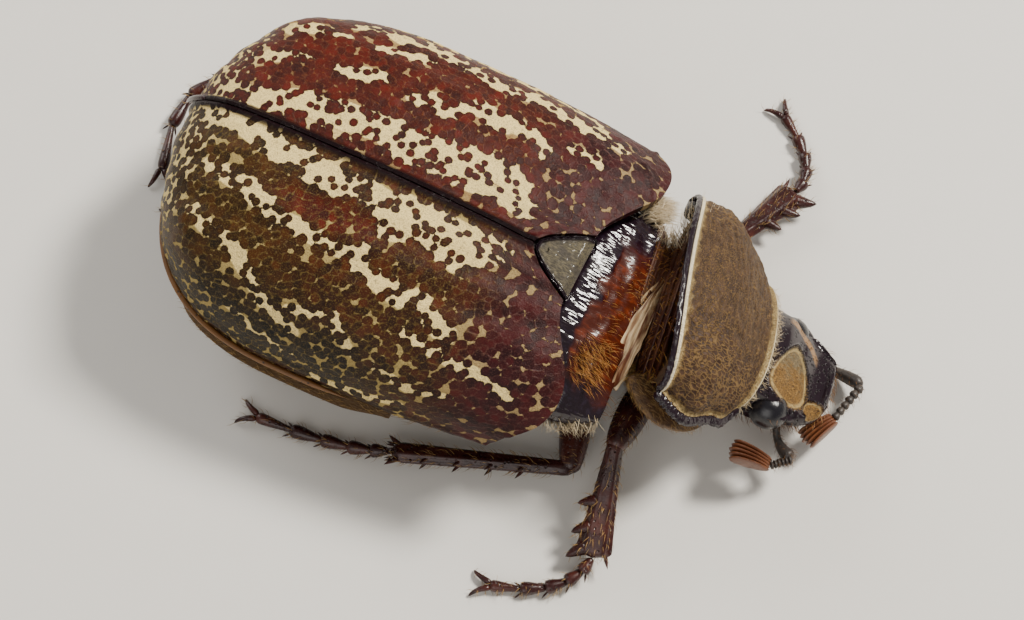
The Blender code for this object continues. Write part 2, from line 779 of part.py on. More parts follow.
def make_palp(name, side):
    """A palp: a short jointed finger beside the mouth."""
    frame = head_frame()
    start, end = (frame @ Vector((x, side * y, z)) for x, y, z in (PALP_ROOT, PALP_TIP))

    def radii(share):
        swell = PALP_RADIUS * (1 + 0.12 * cos(share * 3 * 2 * pi))
        return swell, swell

    bm = limb(line(start, end), radii, Vector((0, 0, 1)), 12, 8)
    rest_on_floor(bm)
    to_object(name, bm, "feeler")


def make_feeler(side_name):
    """The stem of a feeler, from under the head to its tip, and the club of leaves that it carries."""
    frame = head_frame()
    points = FEELERS[side_name]
    root, corner, elbow, tip, club_end = (
        frame @ Vector(points[key]) for key in ("root", "turn", "elbow", "tip", "club")
    )
    thick, thin = FEELER_RADIUS
    scape = bend(root, corner, elbow)

    def stem_line(share):
        if share < 0.6:
            return scape(share / 0.6)
        return elbow + (tip - elbow) * ((share - 0.6) / 0.4)

    def stem_radii(share):
        size = between(thick, thin, min(1, max(0, share - 0.4) / 0.3))
        return size, size

    stem = limb(stem_line, stem_radii, Vector((0, 0, 1)), 20, 8)
    way = (tip - elbow).normalized()
    cut_flat(stem, tip - way * GAP / 2, way)
    rest_on_floor(stem)
    to_object(f"antenna_{side_name}_stem", stem, "feeler")

    def club_radii(share):
        leaf = 1 + 0.12 * cos(share * CLUB_LEAVES * 2 * pi)
        swell = sin(min(1, share * 1.4 + 0.12) * pi / 2) * rounded((share - 0.6) / 0.42, 2)
        return CLUB_RADIUS[0] * swell * leaf, CLUB_RADIUS[1] * swell * leaf

    club = limb(line(tip, club_end), club_radii, Vector((0, 0, 1)), 16, 10, stretch=0.04)
    cut_flat(club, tip + way * GAP / 2, -way)
    rest_on_floor(club)
    to_object(f"antenna_{side_name}_club", club, "feeler")


# Legs


def leg_root(name):
    """Where a leg grows from the body."""
    if "root" in LEGS[name]:
        return Vector(LEGS[name]["root"])
    x, y, z = FRONT_COXA_PLACE
    side = 1 if name.endswith("left") else -1
    return prothorax_frame() @ Vector((x, side * y, z))


def make_leg(name):
    """A leg: its femur and tibia, which meet at a mitred knee, and its tarsus with two claws."""
    leg = LEGS[name]
    pair = name.split("_")[0]
    root = leg_root(name)
    knee, ankle, corner, claws = (Vector(leg[key]) for key in ("knee", "ankle", "turn", "claws"))
    edge = Vector(leg["edge"])
    upper_way, lower_way = (knee - root).normalized(), (ankle - knee).normalized()
    mitre = (upper_way + lower_way).normalized()

    def femur_radii(share):
        thin, thick = FEMUR_RADIUS[pair]
        size = between(thin, thick, sin(min(1, share * 1.1) * pi) ** 0.7)
        return size, size

    femur = limb(line(root, knee), femur_radii, Vector((0, 0, 1)), 9, 10, stretch=0.12)
    cut_flat(femur, root + upper_way * (COXA_RADIUS * COXA_CUT + GAP), -upper_way)
    cut_flat(femur, knee - mitre * GAP / 2, mitre)
    to_object(f"leg_{name}_femur", femur, "cuticle")

    near, far = TIBIA_HALF_WIDTH[pair]

    def tibia_radii(share):
        return between(near, far, max(0, share - 0.1) ** 1.3), TIBIA_THICKNESS

    shaft = limb(line(knee, ankle), tibia_radii, edge, 9, 8, stretch=0.1)
    cut_flat(shaft, knee + mitre * GAP / 2, -mitre)
    cut_flat(shaft, ankle - lower_way * GAP / 2, lower_way)
    pieces = [shaft] + tibia_spines(pair, knee, ankle, edge, near, far)
    fuse(f"leg_{name}_tibia", pieces, "cuticle")

    centre_line = bend(ankle, corner, claws)

    def tarsus_radii(share):
        bead = 1 - 0.26 * abs(cos(share * TARSUS_JOINTS * pi)) ** 3
        size = TARSUS_RADIUS * bead * between(1, 0.9, share)
        return size, size

    tarsus = limb(centre_line, tarsus_radii, Vector((0, 0, 1)), 17, 7, stretch=0.03)
    cut_flat(tarsus, ankle + lower_way * GAP / 2, -lower_way)
    rest_on_floor(tarsus)
    ahead = (claws - corner).normalized()
    across = ahead.cross(Vector((0, 0, 1))).normalized()
    hooks = []
    for side in (-1, 1):
        base = claws - ahead * 0.25 + across * (side * 0.1)
        end = claws + ahead * (CLAW_LENGTH * 0.75) + across * (side * CLAW_LENGTH * 0.6)
        end.z = 0.1
        hook = spike(base, end, CLAW_RADIUS)
        rest_on_floor(hook)
        hooks.append(hook)
    fuse(f"leg_{name}_tarsus", [tarsus] + hooks, "cuticle")


def tibia_spines(pair, knee, ankle, edge, near, far):
    """The teeth on the outer edge of a front tibia, or the spines and spurs of another one."""
    way = (ankle - knee).normalized()
    out = (edge - way * edge.dot(way)).normalized()
    spines = []
    if pair == "front":
        for share in TOOTH_SHARES:
            root = knee + (ankle - knee) * share + out * (between(near, far, share) * 0.5)
            spines.append(spike(root, root + (out * 0.85 + way * 0.5) * TOOTH_LENGTH, 0.36))
        return spines
    for share in SPINE_SHARES:
        root = knee + (ankle - knee) * share + out * 0.15
        spines.append(spike(root, root + (out * 0.9 + way * 0.5) * SPINE_LENGTH, 0.22))
    side_way = way.cross(out)
    for side in (-1, 1):
        root = ankle - way * 0.75 + out * (side * far * 0.55)
        tip = root + (way * 0.6 + out * (side * 0.6) + side_way * 0.1) * SPUR_LENGTH
        spines.append(spike(root, tip, 0.22))
    return spines


def main():
    clear_scene()
    make_elytron("elytron_left", 1)
    make_elytron("elytron_right", -1)
    make_scutellum()
    make_abdomen()
    make_pygidium()
    make_metathorax()
    make_mesothorax()
    make_neck()
    make_pronotum()
    make_prosternum()
    make_head()
    make_mouthparts()
    for side_name, side in (("left", 1), ("right", -1)):
        make_eye(f"eye_{side_name}", side)
        make_palp(f"palp_{side_name}", side)
        make_feeler(side_name)
    for name in LEGS:
        make_leg(name)


main()
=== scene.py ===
"""The looks of a life-size marbled chafer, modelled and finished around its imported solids.

Shapes are worked out in millimetres, and MM turns them into metres. The head points along +X,
the left side is +Y and the floor is z = 0.
"""

from math import acos, atan2, cos, exp, hypot, pi, radians, sin

import bmesh
import bpy
import numpy as np
from mathutils import Matrix, Vector, noise
from mathutils.kdtree import KDTree


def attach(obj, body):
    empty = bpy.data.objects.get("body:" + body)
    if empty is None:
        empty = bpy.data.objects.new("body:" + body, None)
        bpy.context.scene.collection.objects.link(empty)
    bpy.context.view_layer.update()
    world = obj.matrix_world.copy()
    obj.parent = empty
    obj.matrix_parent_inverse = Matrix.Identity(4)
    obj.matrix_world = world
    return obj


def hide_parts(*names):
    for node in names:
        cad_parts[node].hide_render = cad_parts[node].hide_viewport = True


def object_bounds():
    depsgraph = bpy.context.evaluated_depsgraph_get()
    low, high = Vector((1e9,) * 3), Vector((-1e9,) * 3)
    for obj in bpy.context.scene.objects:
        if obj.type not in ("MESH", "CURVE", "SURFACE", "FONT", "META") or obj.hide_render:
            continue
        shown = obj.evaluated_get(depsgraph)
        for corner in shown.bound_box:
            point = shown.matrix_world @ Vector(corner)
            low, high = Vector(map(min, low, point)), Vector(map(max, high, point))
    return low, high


bl_info = {
    "name": "Marbled Chafer",
    "version": (1, 0, 0),
    "blender": (4, 5, 0),
    "location": "View3D > Sidebar > Chafer",
    "description": "Models and finishes a marbled chafer around its solids, with its stage",
    "category": "Object",
}

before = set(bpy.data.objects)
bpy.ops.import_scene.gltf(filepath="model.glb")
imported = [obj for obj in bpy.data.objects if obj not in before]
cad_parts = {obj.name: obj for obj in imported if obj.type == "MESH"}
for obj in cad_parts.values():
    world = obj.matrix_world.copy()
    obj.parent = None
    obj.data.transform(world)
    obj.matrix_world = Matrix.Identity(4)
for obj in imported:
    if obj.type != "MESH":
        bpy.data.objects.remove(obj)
CAD_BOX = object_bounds()
MM = 0.001
AHEAD, ACROSS, UP = Vector((1, 0, 0)), Vector((0, 1, 0)), Vector((0, 0, 1))
SIDES = {"left": 1, "right": -1}

# The pair of elytra
APEX_X = -17.4
APEX_SHARE = 0.985
WIDEST_X = -8.3
SHOULDER_X = 4.8
SHOULDER_CORNER = 2.2
SHOULDER_DEPTH = 1.3
LOWER_CORNER = 2.2
LOWER_CORNER_DEGREES = 60
ELYTRA_HALF_WIDTH = 8.95
SHOULDER_TAPER = 0.11
TAIL_ROUNDING = 2.45
BACK_ROUNDING = 4.2
EDGE_Z = 4.9
SHOULDER_EDGE_RISE = 0.5
BACK_Z = 10.3
SHOULDER_BACK_DROP = 1.7
SECTION_POWER = 0.87
TUCK_DEGREES = 99
TUCK_DEPTH = 0.35
SHELL = 0.5
SUTURE_GAP = 0.03
SUTURE_RIB = 0.3
BEAD_FRONT_X = -4.0
BEAD_END_X = -17.2
BEAD_DROP = 0.12
BEAD_RADIUS = 0.14
ELYTRON_ROWS, ELYTRON_COLUMNS = 230, 150
STRIA_SPACING = 1.9
UMBONE_PLACE = (2.6, 6.6)
CALLUS_PLACE = (-14.0, 6.2)
HOOK_START_X = -16.3
HOOK_CORNER = (-17.35, 0.13, 8.6)
HOOK_END = (-17.75, 0.45, 7.1)

# The scutellum
SCUTELLUM_TIP_X = 0.8
SCUTELLUM_FRONT_X = 3.0
SCUTELLUM_HALF_WIDTH = 1.7
SCUTELLUM_GAP = 0.06
SCUTELLUM_ROUNDING = 0.6
SCUTELLUM_THICKNESS = 0.6
SCUTELLUM_STEPS = 60

# The trunk
UNDER_SHELL = 1.15
SHELF_DROP = 0.85
SIDE_DROP = 1.3
BELLY_OVERHANG = 0.25
ABDOMEN_FRONT_X = -2.8
TAIL_X = -16.9
TAIL_START_X = -13.2
TAIL_Z = 4.2
BELLY_LIFT_X = -11.5
BELLY_LIFT = 2.2
BELLY_FLAT = 1.6
KEEL_POWER = 0.55
BELLY_POWER = 0.75
BELLY_BLEND_X = -9.0
STRIP_TAPER = 0.35
STERNITE_STEP = 0.22
STERNITES = 6
METATHORAX_FRONT_X = 2.7
MESOTHORAX_FRONT = (5.7, 0.0, 5.8)
MESOTHORAX_SLOPE = 25
MESOTHORAX_YAW = 12
MESOTHORAX_LENGTH = 3.4
MESOTHORAX_HALF_WIDTH = 6.1
MESOTHORAX_MIDDLE_Z = 4.9
MESOTHORAX_FALL = 1.9
NECK_START = (5.0, 1.3, 5.1)
COLLAR_POINTS = ((6.5, 2.4, 6.2), (5.9, -0.2, 6.95), (6.3, -3.5, 5.5))
COLLAR_WIDE_WAY = (0.85, -0.05, 0.3)
COLLAR_THICK_WAY = (-0.3, 0, 0.9)
COLLAR_STATIONS = 100

# The prothorax and the head, each in its own frame
PROTHORAX_PLACE = (7.0, 1.8, 6.0)
PROTHORAX_YAW = 3
PROTHORAX_PITCH = 38
PROTHORAX_ROLL = -20
PRONOTUM_HIND_HALF = 5.7
PRONOTUM_WIDEST_HALF = 6.0
PRONOTUM_FRONT_HALF = 3.6
PRONOTUM_LENGTH = 4.9
PRONOTUM_BULGE = 1.4
PRONOTUM_HEIGHT = 2.9
PRONOTUM_BASE_Z = 0.12
PRONOTUM_TOP_SHARE = 0.82
PROTHORAX_RECESS = 0.6
PROTHORAX_RIM = 0.7
PROSTERNUM_DEPTH = 2.2
PROSTERNUM_POWER = 1.6
FRONT_COXA_PLACE = (2.4, 1.7, -3.4)
FOLD_POINTS = ((0.3, -3.9, -1.7), (1.0, -6.2, -1.3), (3.5, -4.9, -0.5))
RIM_KNOB_ENDS = ((-0.25, 5.2, 0.35), (1.0, 5.2, 0.35))
HEAD_PLACE = (4.6, -0.35, 0.1)
HEAD_YAW = -8
HEAD_PITCH = -20
HEAD_LENGTH = 4.7
HEAD_BACK_X = 0.15
HEAD_HALF_WIDTH = 3.2
CLYPEUS_HALF_WIDTH = 2.7
CHEEK_Y = 2.65
EYE_X = 2.1
EYE_Z = -0.1
EYE_RADIUS = 0.95
EYE_SUNK = 0.15
MOUTH_X = 2.7
MOUTH_Z = -1.1
JAW_POINTS = ((2.4, 1.4, -0.9), (3.9, 1.5, -0.9), (4.0, 0.3, -0.95))
PALP_ENDS = ((2.2, 1.3, -1.5), (0.6, 2.0, -1.75))
CANTHUS_POINTS = ((3.3, 2.2, 0.2), (2.9, 3.0, 0.35), (1.85, 3.1, 0.42))
HEAD_TOP = ((0, 1.5), (0.35, 1.3), (0.6, 0.85), (0.75, 0.62), (0.88, 0.6), (0.95, 0.85), (1, 0.5))
HEAD_BOTTOM = ((0, 1.6), (0.5, 1.3), (0.9, 0.4))
HEAD_SIDES = (
    (0, HEAD_HALF_WIDTH), (0.45, HEAD_HALF_WIDTH), (0.65, CLYPEUS_HALF_WIDTH),
    (0.88, CLYPEUS_HALF_WIDTH * 0.92),
)

FEELERS = {
    "left": {
        "root": (3.0, 2.1, -1.05), "turn": (4.6, 3.3, -1.5), "elbow": (6.1, 1.4, 0.3),
        "tip": (5.5, -0.5, -0.6), "club": (4.5, -2.1, -1.4),
    },
    "right": {
        "root": (3.0, -2.1, -1.05), "turn": (3.3, -2.5, -2.0), "elbow": (4.3, -3.3, -1.5),
        "tip": (3.5, -3.9, -1.9), "club": (1.3, -4.1, -1.9),
    },
}
FUNICLE_JOINTS = 6
CLUB_LEAVES = 5

# The legs: root, knee, ankle, the bend of the tarsus, its claws, and where the tibia's outer edge faces
LEGS = {
    "front_right": {
        "knee": (7.4, -5.2, 3.3), "ankle": (8.5, -9.9, 1.0),
        "turn": (8.4, -12.0, 0.3), "claws": (4.6, -13.0, 0.24), "edge": (-1, 0.2, 0.2),
    },
    "front_left": {
        "knee": (7.6, 7.5, 0.9), "ankle": (9.5, 11.6, 0.9),
        "turn": (10.2, 13.6, 0.3), "claws": (7.2, 15.6, 0.24), "edge": (1, -0.2, 0.2),
    },
    "middle_right": {
        "root": (4.2, -1.9, 0.92), "knee": (5.7, -6.4, 1.1), "ankle": (-2.4, -9.3, 1.0),
        "turn": (-4.4, -10.1, 0.3), "claws": (-9.2, -10.3, 0.24), "edge": (0, -1, 0.3),
    },
    "middle_left": {
        "root": (4.2, 1.9, 1.0), "knee": (4.4, 6.6, 1.2), "ankle": (-2.8, 9.5, 1.0),
        "turn": (-4.8, 10.2, 0.3), "claws": (-9.0, 9.7, 0.24), "edge": (0, 1, 0.3),
    },
    "hind_right": {
        "root": (-1.1, -2.8, 0.85), "knee": (-6.4, -7.4, 1.0), "ankle": (-12.8, -6.4, 1.0),
        "turn": (-15.8, -6.3, 0.3), "claws": (-17.8, -3.0, 0.24), "edge": (0, -1, 0.3),
    },
    "hind_left": {
        "root": (-1.1, 2.8, 0.85), "knee": (-7.2, 7.6, 1.0), "ankle": (-15.6, 6.2, 1.0),
        "turn": (-22.4, 5.6, 0.7), "claws": (-19.6, -0.8, 0.24), "edge": (0, 1, 0.3),
    },
}
COXA_RADIUS = 1.15
FRONT_COXA_HEIGHT = 2.0
FEMUR_RADIUS = {"front": (0.5, 0.78), "middle": (0.5, 0.76), "hind": (0.48, 0.7)}
TIBIA_HALF_WIDTH = {"front": (0.4, 0.92), "middle": (0.4, 0.6), "hind": (0.4, 0.64)}
TIBIA_THICKNESS = 0.34
TOOTH_SHARES = (0.5, 0.72, 0.9)
TIBIA_SPINE_SHARES = (0.25, 0.42, 0.6, 0.78)
END_SPINES = 7
TOOTH_LENGTH = 1.0
SPUR_LENGTH = 1.1
TARSUS_RADIUS = 0.34
TARSUS_JOINTS = 5
CLAW_LENGTH = 1.1
CLAW_RADIUS = 0.15

# The hairs: how far their ways stray, how deep they root, and each one's patch of the map
HAIR_STRAY = 0.28
HAIR_SINK = 0.03
MAP_PATCH = 0.003

# Bands of pale scales on each elytron, as (x, distance from the suture, half width) along each
BANDS = {
    "right": (
        ((-15.6, 0.5, 0.3), (-14.0, 0.6, 0.35), (-12.2, 1.0, 0.5), (-10.6, 1.35, 0.5), (-9.0, 1.5, 0.6),
         (-7.4, 1.3, 0.55), (-6.2, 1.6, 0.6), (-5.4, 2.3, 0.7), (-4.6, 1.9, 0.8), (-3.2, 1.9, 0.75),
         (-2.0, 2.0, 0.6), (-1.0, 2.1, 0.6), (-0.3, 1.4, 0.45)),
        ((-5.6, 1.0, 0.3), (-4.0, 1.1, 0.4), (-2.4, 1.2, 0.35), (-0.9, 0.9, 0.25)),
        ((-3.3, 2.6, 0.3), (-1.6, 3.1, 0.3)),
        ((-14.4, 3.0, 0.2), (-13.0, 3.2, 0.3), (-11.9, 3.4, 0.35), (-11.0, 3.8, 0.4), (-10.3, 4.2, 0.3),
         (-9.2, 4.1, 0.25), (-8.3, 4.2, 0.25), (-7.4, 4.3, 0.2), (-6.4, 4.2, 0.35), (-5.9, 3.8, 0.25)),
        ((-6.0, 4.6, 0.3), (-5.0, 4.9, 0.3), (-4.2, 5.1, 0.4), (-3.4, 5.4, 0.3)),
        ((-2.8, 5.1, 0.3), (-1.9, 5.8, 0.35), (-1.0, 6.3, 0.3)),
        ((-14.2, 5.1, 0.15), (-13.2, 5.7, 0.2), (-12.2, 5.9, 0.2), (-11.3, 6.4, 0.25), (-10.6, 6.9, 0.25)),
        ((-10.3, 7.1, 0.2), (-9.6, 7.8, 0.2), (-8.6, 8.3, 0.15), (-7.6, 8.7, 0.1)),
        ((-8.2, 7.8, 0.05), (-7.2, 7.5, 0.1), (-6.2, 7.2, 0.15), (-5.5, 7.9, 0.1), (-4.7, 8.6, 0.05)),
        ((-2.9, 6.8, 0.1), (-1.9, 7.1, 0.1), (-0.6, 7.3, 0.15), (0.8, 7.6, 0.15), (1.9, 7.8, 0.15),
         (2.6, 8.3, 0.2)),
        ((-11.0, 8.9, 0.0), (-9.4, 9.6, 0.05), (-7.6, 10.0, 0.05)),
        ((-3.6, 8.8, 0.05), (-1.8, 9.4, 0.1), (0.2, 9.2, 0.05)),
        ((-6.6, 11.0, 0.05), (-5.0, 11.1, 0.1), (-2.0, 10.8, 0.05)),
    ),
    "left": (
        ((-15.8, 0.6, 0.3), (-14.3, 0.7, 0.45), (-13.0, 1.1, 0.4), (-12.0, 1.5, 0.45), (-10.6, 1.6, 0.6),
         (-9.2, 1.7, 0.55), (-8.0, 1.9, 0.6), (-6.8, 1.8, 0.8), (-5.6, 1.8, 0.75), (-4.6, 2.2, 0.7),
         (-3.3, 2.6, 0.65), (-2.0, 2.9, 0.6), (-1.0, 2.6, 0.55), (-0.3, 2.1, 0.4)),
        ((-7.2, 1.1, 0.3), (-5.4, 1.1, 0.3), (-3.4, 1.3, 0.35), (-1.6, 1.5, 0.3), (-0.2, 1.2, 0.25)),
        ((-14.6, 3.2, 0.25), (-13.8, 3.6, 0.2), (-12.8, 3.8, 0.15)),
        ((-11.2, 3.9, 0.2), (-10.0, 4.2, 0.3), (-9.2, 4.4, 0.25)),
        ((-7.4, 4.1, 0.25), (-6.4, 4.4, 0.45), (-5.6, 4.2, 0.35)),
        ((-5.2, 4.9, 0.25), (-4.3, 5.4, 0.3), (-3.5, 5.0, 0.45), (-2.8, 5.5, 0.35), (-1.6, 5.6, 0.35),
         (-0.8, 5.0, 0.3)),
        ((0.1, 6.2, 0.15), (1.2, 6.3, 0.25), (1.9, 6.2, 0.15)),
        ((-14.4, 5.3, 0.25), (-13.2, 5.8, 0.2), (-12.0, 6.1, 0.15)),
        ((-10.4, 6.1, 0.15), (-9.0, 6.5, 0.2), (-7.8, 6.8, 0.15)),
        ((-12.0, 7.3, 0.25), (-10.8, 7.9, 0.3), (-9.6, 7.6, 0.35), (-8.6, 8.2, 0.4), (-7.2, 7.9, 0.35),
         (-6.0, 7.6, 0.3), (-4.6, 7.5, 0.3), (-3.4, 7.6, 0.3), (-2.4, 8.2, 0.4), (-1.3, 7.8, 0.4),
         (-0.2, 7.9, 0.4), (0.8, 8.3, 0.35), (2.0, 8.0, 0.25)),
        ((-11.0, 9.2, 0.25), (-9.0, 9.7, 0.35), (-7.0, 9.4, 0.3), (-4.6, 9.3, 0.3), (-2.0, 9.6, 0.3),
         (0.4, 9.3, 0.25)),
        ((-9.6, 10.6, 0.25), (-6.8, 11.0, 0.3), (-4.0, 11.0, 0.3), (-1.0, 10.6, 0.25)),
    ),
}
BAND_SOFTNESS = 0.3
DOT_SEEDS = {"left": 5, "right": 6}
DOT_JITTER = 0.34
DOTS_IN_REACH = 5
FLANK_OPENNESS = {"left": 0.3, "right": 0.55}
DUST = {"left": (0.12, 0.034, 0.009), "right": (0.15, 0.1, 0.024)}
FRONT_DUST = (0.09, 0.035, 0.028)
MAROON_PATCH = (-8.0, 3.0)

# The stage: where the camera aims and, in pixels, how far the aim lies off the picture's middle
AIM = Vector((0.5, 0.0, 9.55)) * MM
AIM_OFFSET = (-18.0, -70.0)
FOCAL_PIXELS = 2530.0
IMAGE_WIDTH = 1024.0
SENSOR_WIDTH = 36.0
FLOOR_SIZE = 1.2
FLOOR_DROP = 0.00001
SKY_COLOUR = (1.0, 0.955, 0.89, 1)
SKY_STRENGTH = 0.32

# The lights: name, place, size, share of the key's power, and colour
LIGHTS = (
    ("key", (0.13, 0.17, 0.25), 0.07, 1.0, (1.0, 0.95, 0.86)),
    ("fill", (0.02, -0.26, 0.2), 0.25, 0.2, (1.0, 0.97, 0.93)),
    ("rim", (-0.24, 0.1, 0.16), 0.16, 0.22, (1.0, 0.98, 0.95)),
)


def colour_property(name, default, description):
    return bpy.props.FloatVectorProperty(
        name=name, description=description, subtype="COLOR", size=3, min=0, max=1, default=default
    )


class ChaferColours(bpy.types.PropertyGroup):
    """The colours of the beetle."""

    olive: colour_property("Olive", (0.042, 0.016, 0.0018), "Bare dots at the back of the right elytron")
    brown: colour_property("Brown", (0.05, 0.011, 0.0016), "Bare dots in the middle of the right elytron")
    maroon: colour_property("Maroon", (0.066, 0.0045, 0.0012), "Bare dots of the left elytron")
    purple: colour_property("Purple", (0.037, 0.003, 0.0045), "Front of both elytra")
    cream: colour_property("Cream", (0.9, 0.69, 0.28), "Pale scales of the elytra")
    slate: colour_property("Slate", (0.02, 0.015, 0.011), "Dusty flank of the elytra")
    disc: colour_property("Disc", (0.026, 0.01, 0.004), "Ground of the pronotum")
    gold: colour_property("Gold", (0.22, 0.13, 0.042), "Scales of the pronotum and the head")
    cuticle: colour_property("Cuticle", (0.01, 0.004, 0.008), "Bare purple-black plates")
    leg: colour_property("Leg", (0.026, 0.006, 0.006), "Legs")
    rust: colour_property("Rust", (0.05, 0.008, 0.003), "Membrane behind the pronotum")
    # The belly colour is its own tan-brown darkened by a quarter, as painted shade.
    belly: colour_property("Belly", (0.06, 0.034, 0.011), "Belly and flanks")
    hair: colour_property("Hair", (0.5, 0.3, 0.1), "Golden hairs")
    pale_hair: colour_property("Pale Hair", (0.8, 0.68, 0.48), "Pale tufts and fringes")


class ChaferDetails(bpy.types.PropertyGroup):
    """How fine the markings and the hairs are."""

    dot_spacing: bpy.props.FloatProperty(
        name="Dot Spacing", description="Distance between the bare dots of the elytra",
        default=0.00043, min=0.0002, max=0.002, precision=5, unit="LENGTH",
    )
    wrinkle_depth: bpy.props.FloatProperty(
        name="Wrinkle Depth", description="Height of the wrinkles of the pronotum",
        default=0.00007, min=0, max=0.0003, precision=5, unit="LENGTH",
    )
    hair_share: bpy.props.FloatProperty(
        name="Hair Share", description="Share of the full number of hairs",
        default=1.0, min=0.05, max=1.5, subtype="FACTOR",
    )


class ChaferStage(bpy.types.PropertyGroup):
    """Camera, light and floor."""

    azimuth: bpy.props.FloatProperty(
        name="Azimuth", description="How far the camera stands round from the beetle's right side",
        default=radians(25.74), subtype="ANGLE",
    )
    elevation: bpy.props.FloatProperty(
        name="Elevation", description="Angle of the camera above the horizon",
        default=radians(65.5), subtype="ANGLE",
    )
    distance: bpy.props.FloatProperty(
        name="Distance", description="From the aim on the back to the camera", default=0.115, unit="LENGTH"
    )
    floor_colour: colour_property("Floor", (0.74, 0.72, 0.68), "The plain floor")
    key_watts: bpy.props.FloatProperty(
        name="Key Light", description="Power of the main light", default=1.8, min=0, unit="POWER"
    )


# Shapes


def between(low, high, share):
    return low + (high - low) * share


def ease(share):
    share = min(max(share, 0), 1)
    return share * share * (3 - 2 * share)


def along(stations, position):
    """The value at a position in a list of (position, value) pairs, eased between them."""
    if position <= stations[0][0]:
        return stations[0][1]
    for (start, first), (end, second) in zip(stations, stations[1:]):
        if position <= end:
            return between(first, second, ease((position - start) / (end - start)))
    return stations[-1][1]


def power(value, exponent):
    """A signed power, which squares off a sine or a cosine."""
    return abs(value) ** exponent * (1 if value >= 0 else -1)


def rounded(share, exponent):
    """Falls from 1 at share 0 to 0 at share 1 along a rounded corner."""
    return (1 - min(max(share, 0), 1) ** exponent) ** (1 / exponent)


def hump(value, centre, width):
    """1 at the centre, falling to 0 like a bell."""
    return exp(-(((value - centre) / width) ** 2))


def ball(place, steps, sides):
    """A closed shape: a sphere whose point at a share from pole to pole and an angle round it is moved."""
    bm = bmesh.new()
    bmesh.ops.create_uvsphere(bm, u_segments=sides, v_segments=steps, radius=1)
    for vert in bm.verts:
        x, y, z = vert.co
        share = round(acos(max(-1, min(1, z))) / pi * steps) / steps
        vert.co = Vector(place(share, atan2(y, x)))
    return bm


def limb(centre_line, radii, edge, steps, sides, relief=None):
    """A closed limb along a curve, with its radii along and across the given edge from radii(share)."""

    def place(share, angle):
        centre = centre_line(share)
        ahead = (centre_line(share + 0.01) - centre_line(share - 0.01)).normalized()
        wide_way = (edge - ahead * edge.dot(ahead)).normalized()
        thick_way = ahead.cross(wide_way)
        if share in (0, 1):
            return centre
        wide, thick = radii(share)
        end = min(share, 1 - share) * steps
        closing = (0, 0.6, 0.87, 0.97)[min(3, round(end))] if end < 3.5 else 1
        swell = closing * (1 + (relief(share, angle) if relief else 0))
        return centre + wide_way * (wide * swell * cos(angle)) + thick_way * (thick * swell * sin(angle))

    return ball(place, steps, sides)


def line(start, end):
    """A straight centre line from start to end."""
    return lambda share: start + (end - start) * share


def bend(start, corner, end):
    """A smooth centre line from start past a corner to end."""
    return lambda share: start * (1 - share) ** 2 + corner * (2 * share * (1 - share)) + end * share**2


def cut_flat(bm, point, outward):
    """Cuts away what lies outward of a plane, closes the cut flat and puts the points in a fixed order."""
    geometry = bm.verts[:] + bm.edges[:] + bm.faces[:]
    cut = bmesh.ops.bisect_plane(
        bm, geom=geometry, dist=0.0001, plane_co=point, plane_no=outward, clear_outer=True
    )
    rim = [item for item in cut["geom_cut"] if isinstance(item, bmesh.types.BMEdge)]
    bmesh.ops.holes_fill(bm, edges=rim, sides=0)
    ordered = sorted(bm.verts, key=lambda vert: [round(part, 4) for part in vert.co])
    ranks = {vert: rank for rank, vert in enumerate(ordered)}
    bm.verts.sort(key=ranks.get)


def rest_on_floor(bm):
    for vert in bm.verts:
        vert.co.z = max(vert.co.z, 0)


def spine(root, tip, radius, bow=Vector((0, 0, 0))):
    """A tapered, slightly bent spine."""

    def radii(share):
        size = radius * (1 - share) ** 0.6 + 0.015
        return size, size

    middle = (root + tip) / 2 + bow
    side = UP if abs((tip - root).normalized().z) < 0.9 else AHEAD
    return limb(bend(root, middle, tip), radii, side, 8, 8)


def merged(shapes):
    """Several closed shapes in one mesh."""
    whole = bmesh.new()
    for shape in shapes:
        bmesh.ops.recalc_face_normals(shape, faces=shape.faces)
        mesh = bpy.data.meshes.new("part")
        shape.to_mesh(mesh)
        shape.free()
        whole.from_mesh(mesh)
        bpy.data.meshes.remove(mesh)
    return whole


def to_piece(name, bm, material, nodes=(), matrix=None, sharp=50):
    """Turns a shape in millimetres into a piece of the beetle that stands for the given solids."""
    bmesh.ops.recalc_face_normals(bm, faces=bm.faces)
    if bm.calc_volume(signed=True) < 0:
        bmesh.ops.reverse_faces(bm, faces=bm.faces)
    mesh = bpy.data.meshes.new(name)
    bm.to_mesh(mesh)
    bm.free()
    if matrix:
        mesh.transform(matrix)
    return place_mesh(name, mesh, material, nodes, sharp)


def place_mesh(name, mesh, material, nodes=(), sharp=50):
    mesh.transform(Matrix.Scale(MM, 4))
    mesh.materials.append(material)
    mesh.shade_smooth()
    mesh.set_sharp_from_angle(angle=radians(sharp))
    piece = bpy.data.objects.new(name, mesh)
    bpy.context.scene.collection.objects.link(piece)
    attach(piece, "root")
    if nodes:
        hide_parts(*nodes)
    return piece


def points_of(mesh):
    """The vertices of a mesh in metres, as an array in millimetres."""
    values = np.empty(len(mesh.vertices) * 3)
    mesh.vertices.foreach_get("co", values)
    return values.reshape(-1, 3) / MM


def triangles_of(mesh):
    """The corners of a mesh's triangles, in an order that is the same in each run."""
    triangles = []
    for face in mesh.polygons:
        corners = list(face.vertices)
        first = corners.index(min(corners))
        corners = corners[first:] + corners[:first]
        triangles += [(corners[0], *pair) for pair in zip(corners[1:], corners[2:])]
    return np.array(sorted(triangles))


def seen_from(frame_matrix, places):
    """Places of the beetle in the own frame of its prothorax or head."""
    back = frame_matrix.inverted()
    return places @ np.array(back.to_3x3()).T + np.array(back.translation)


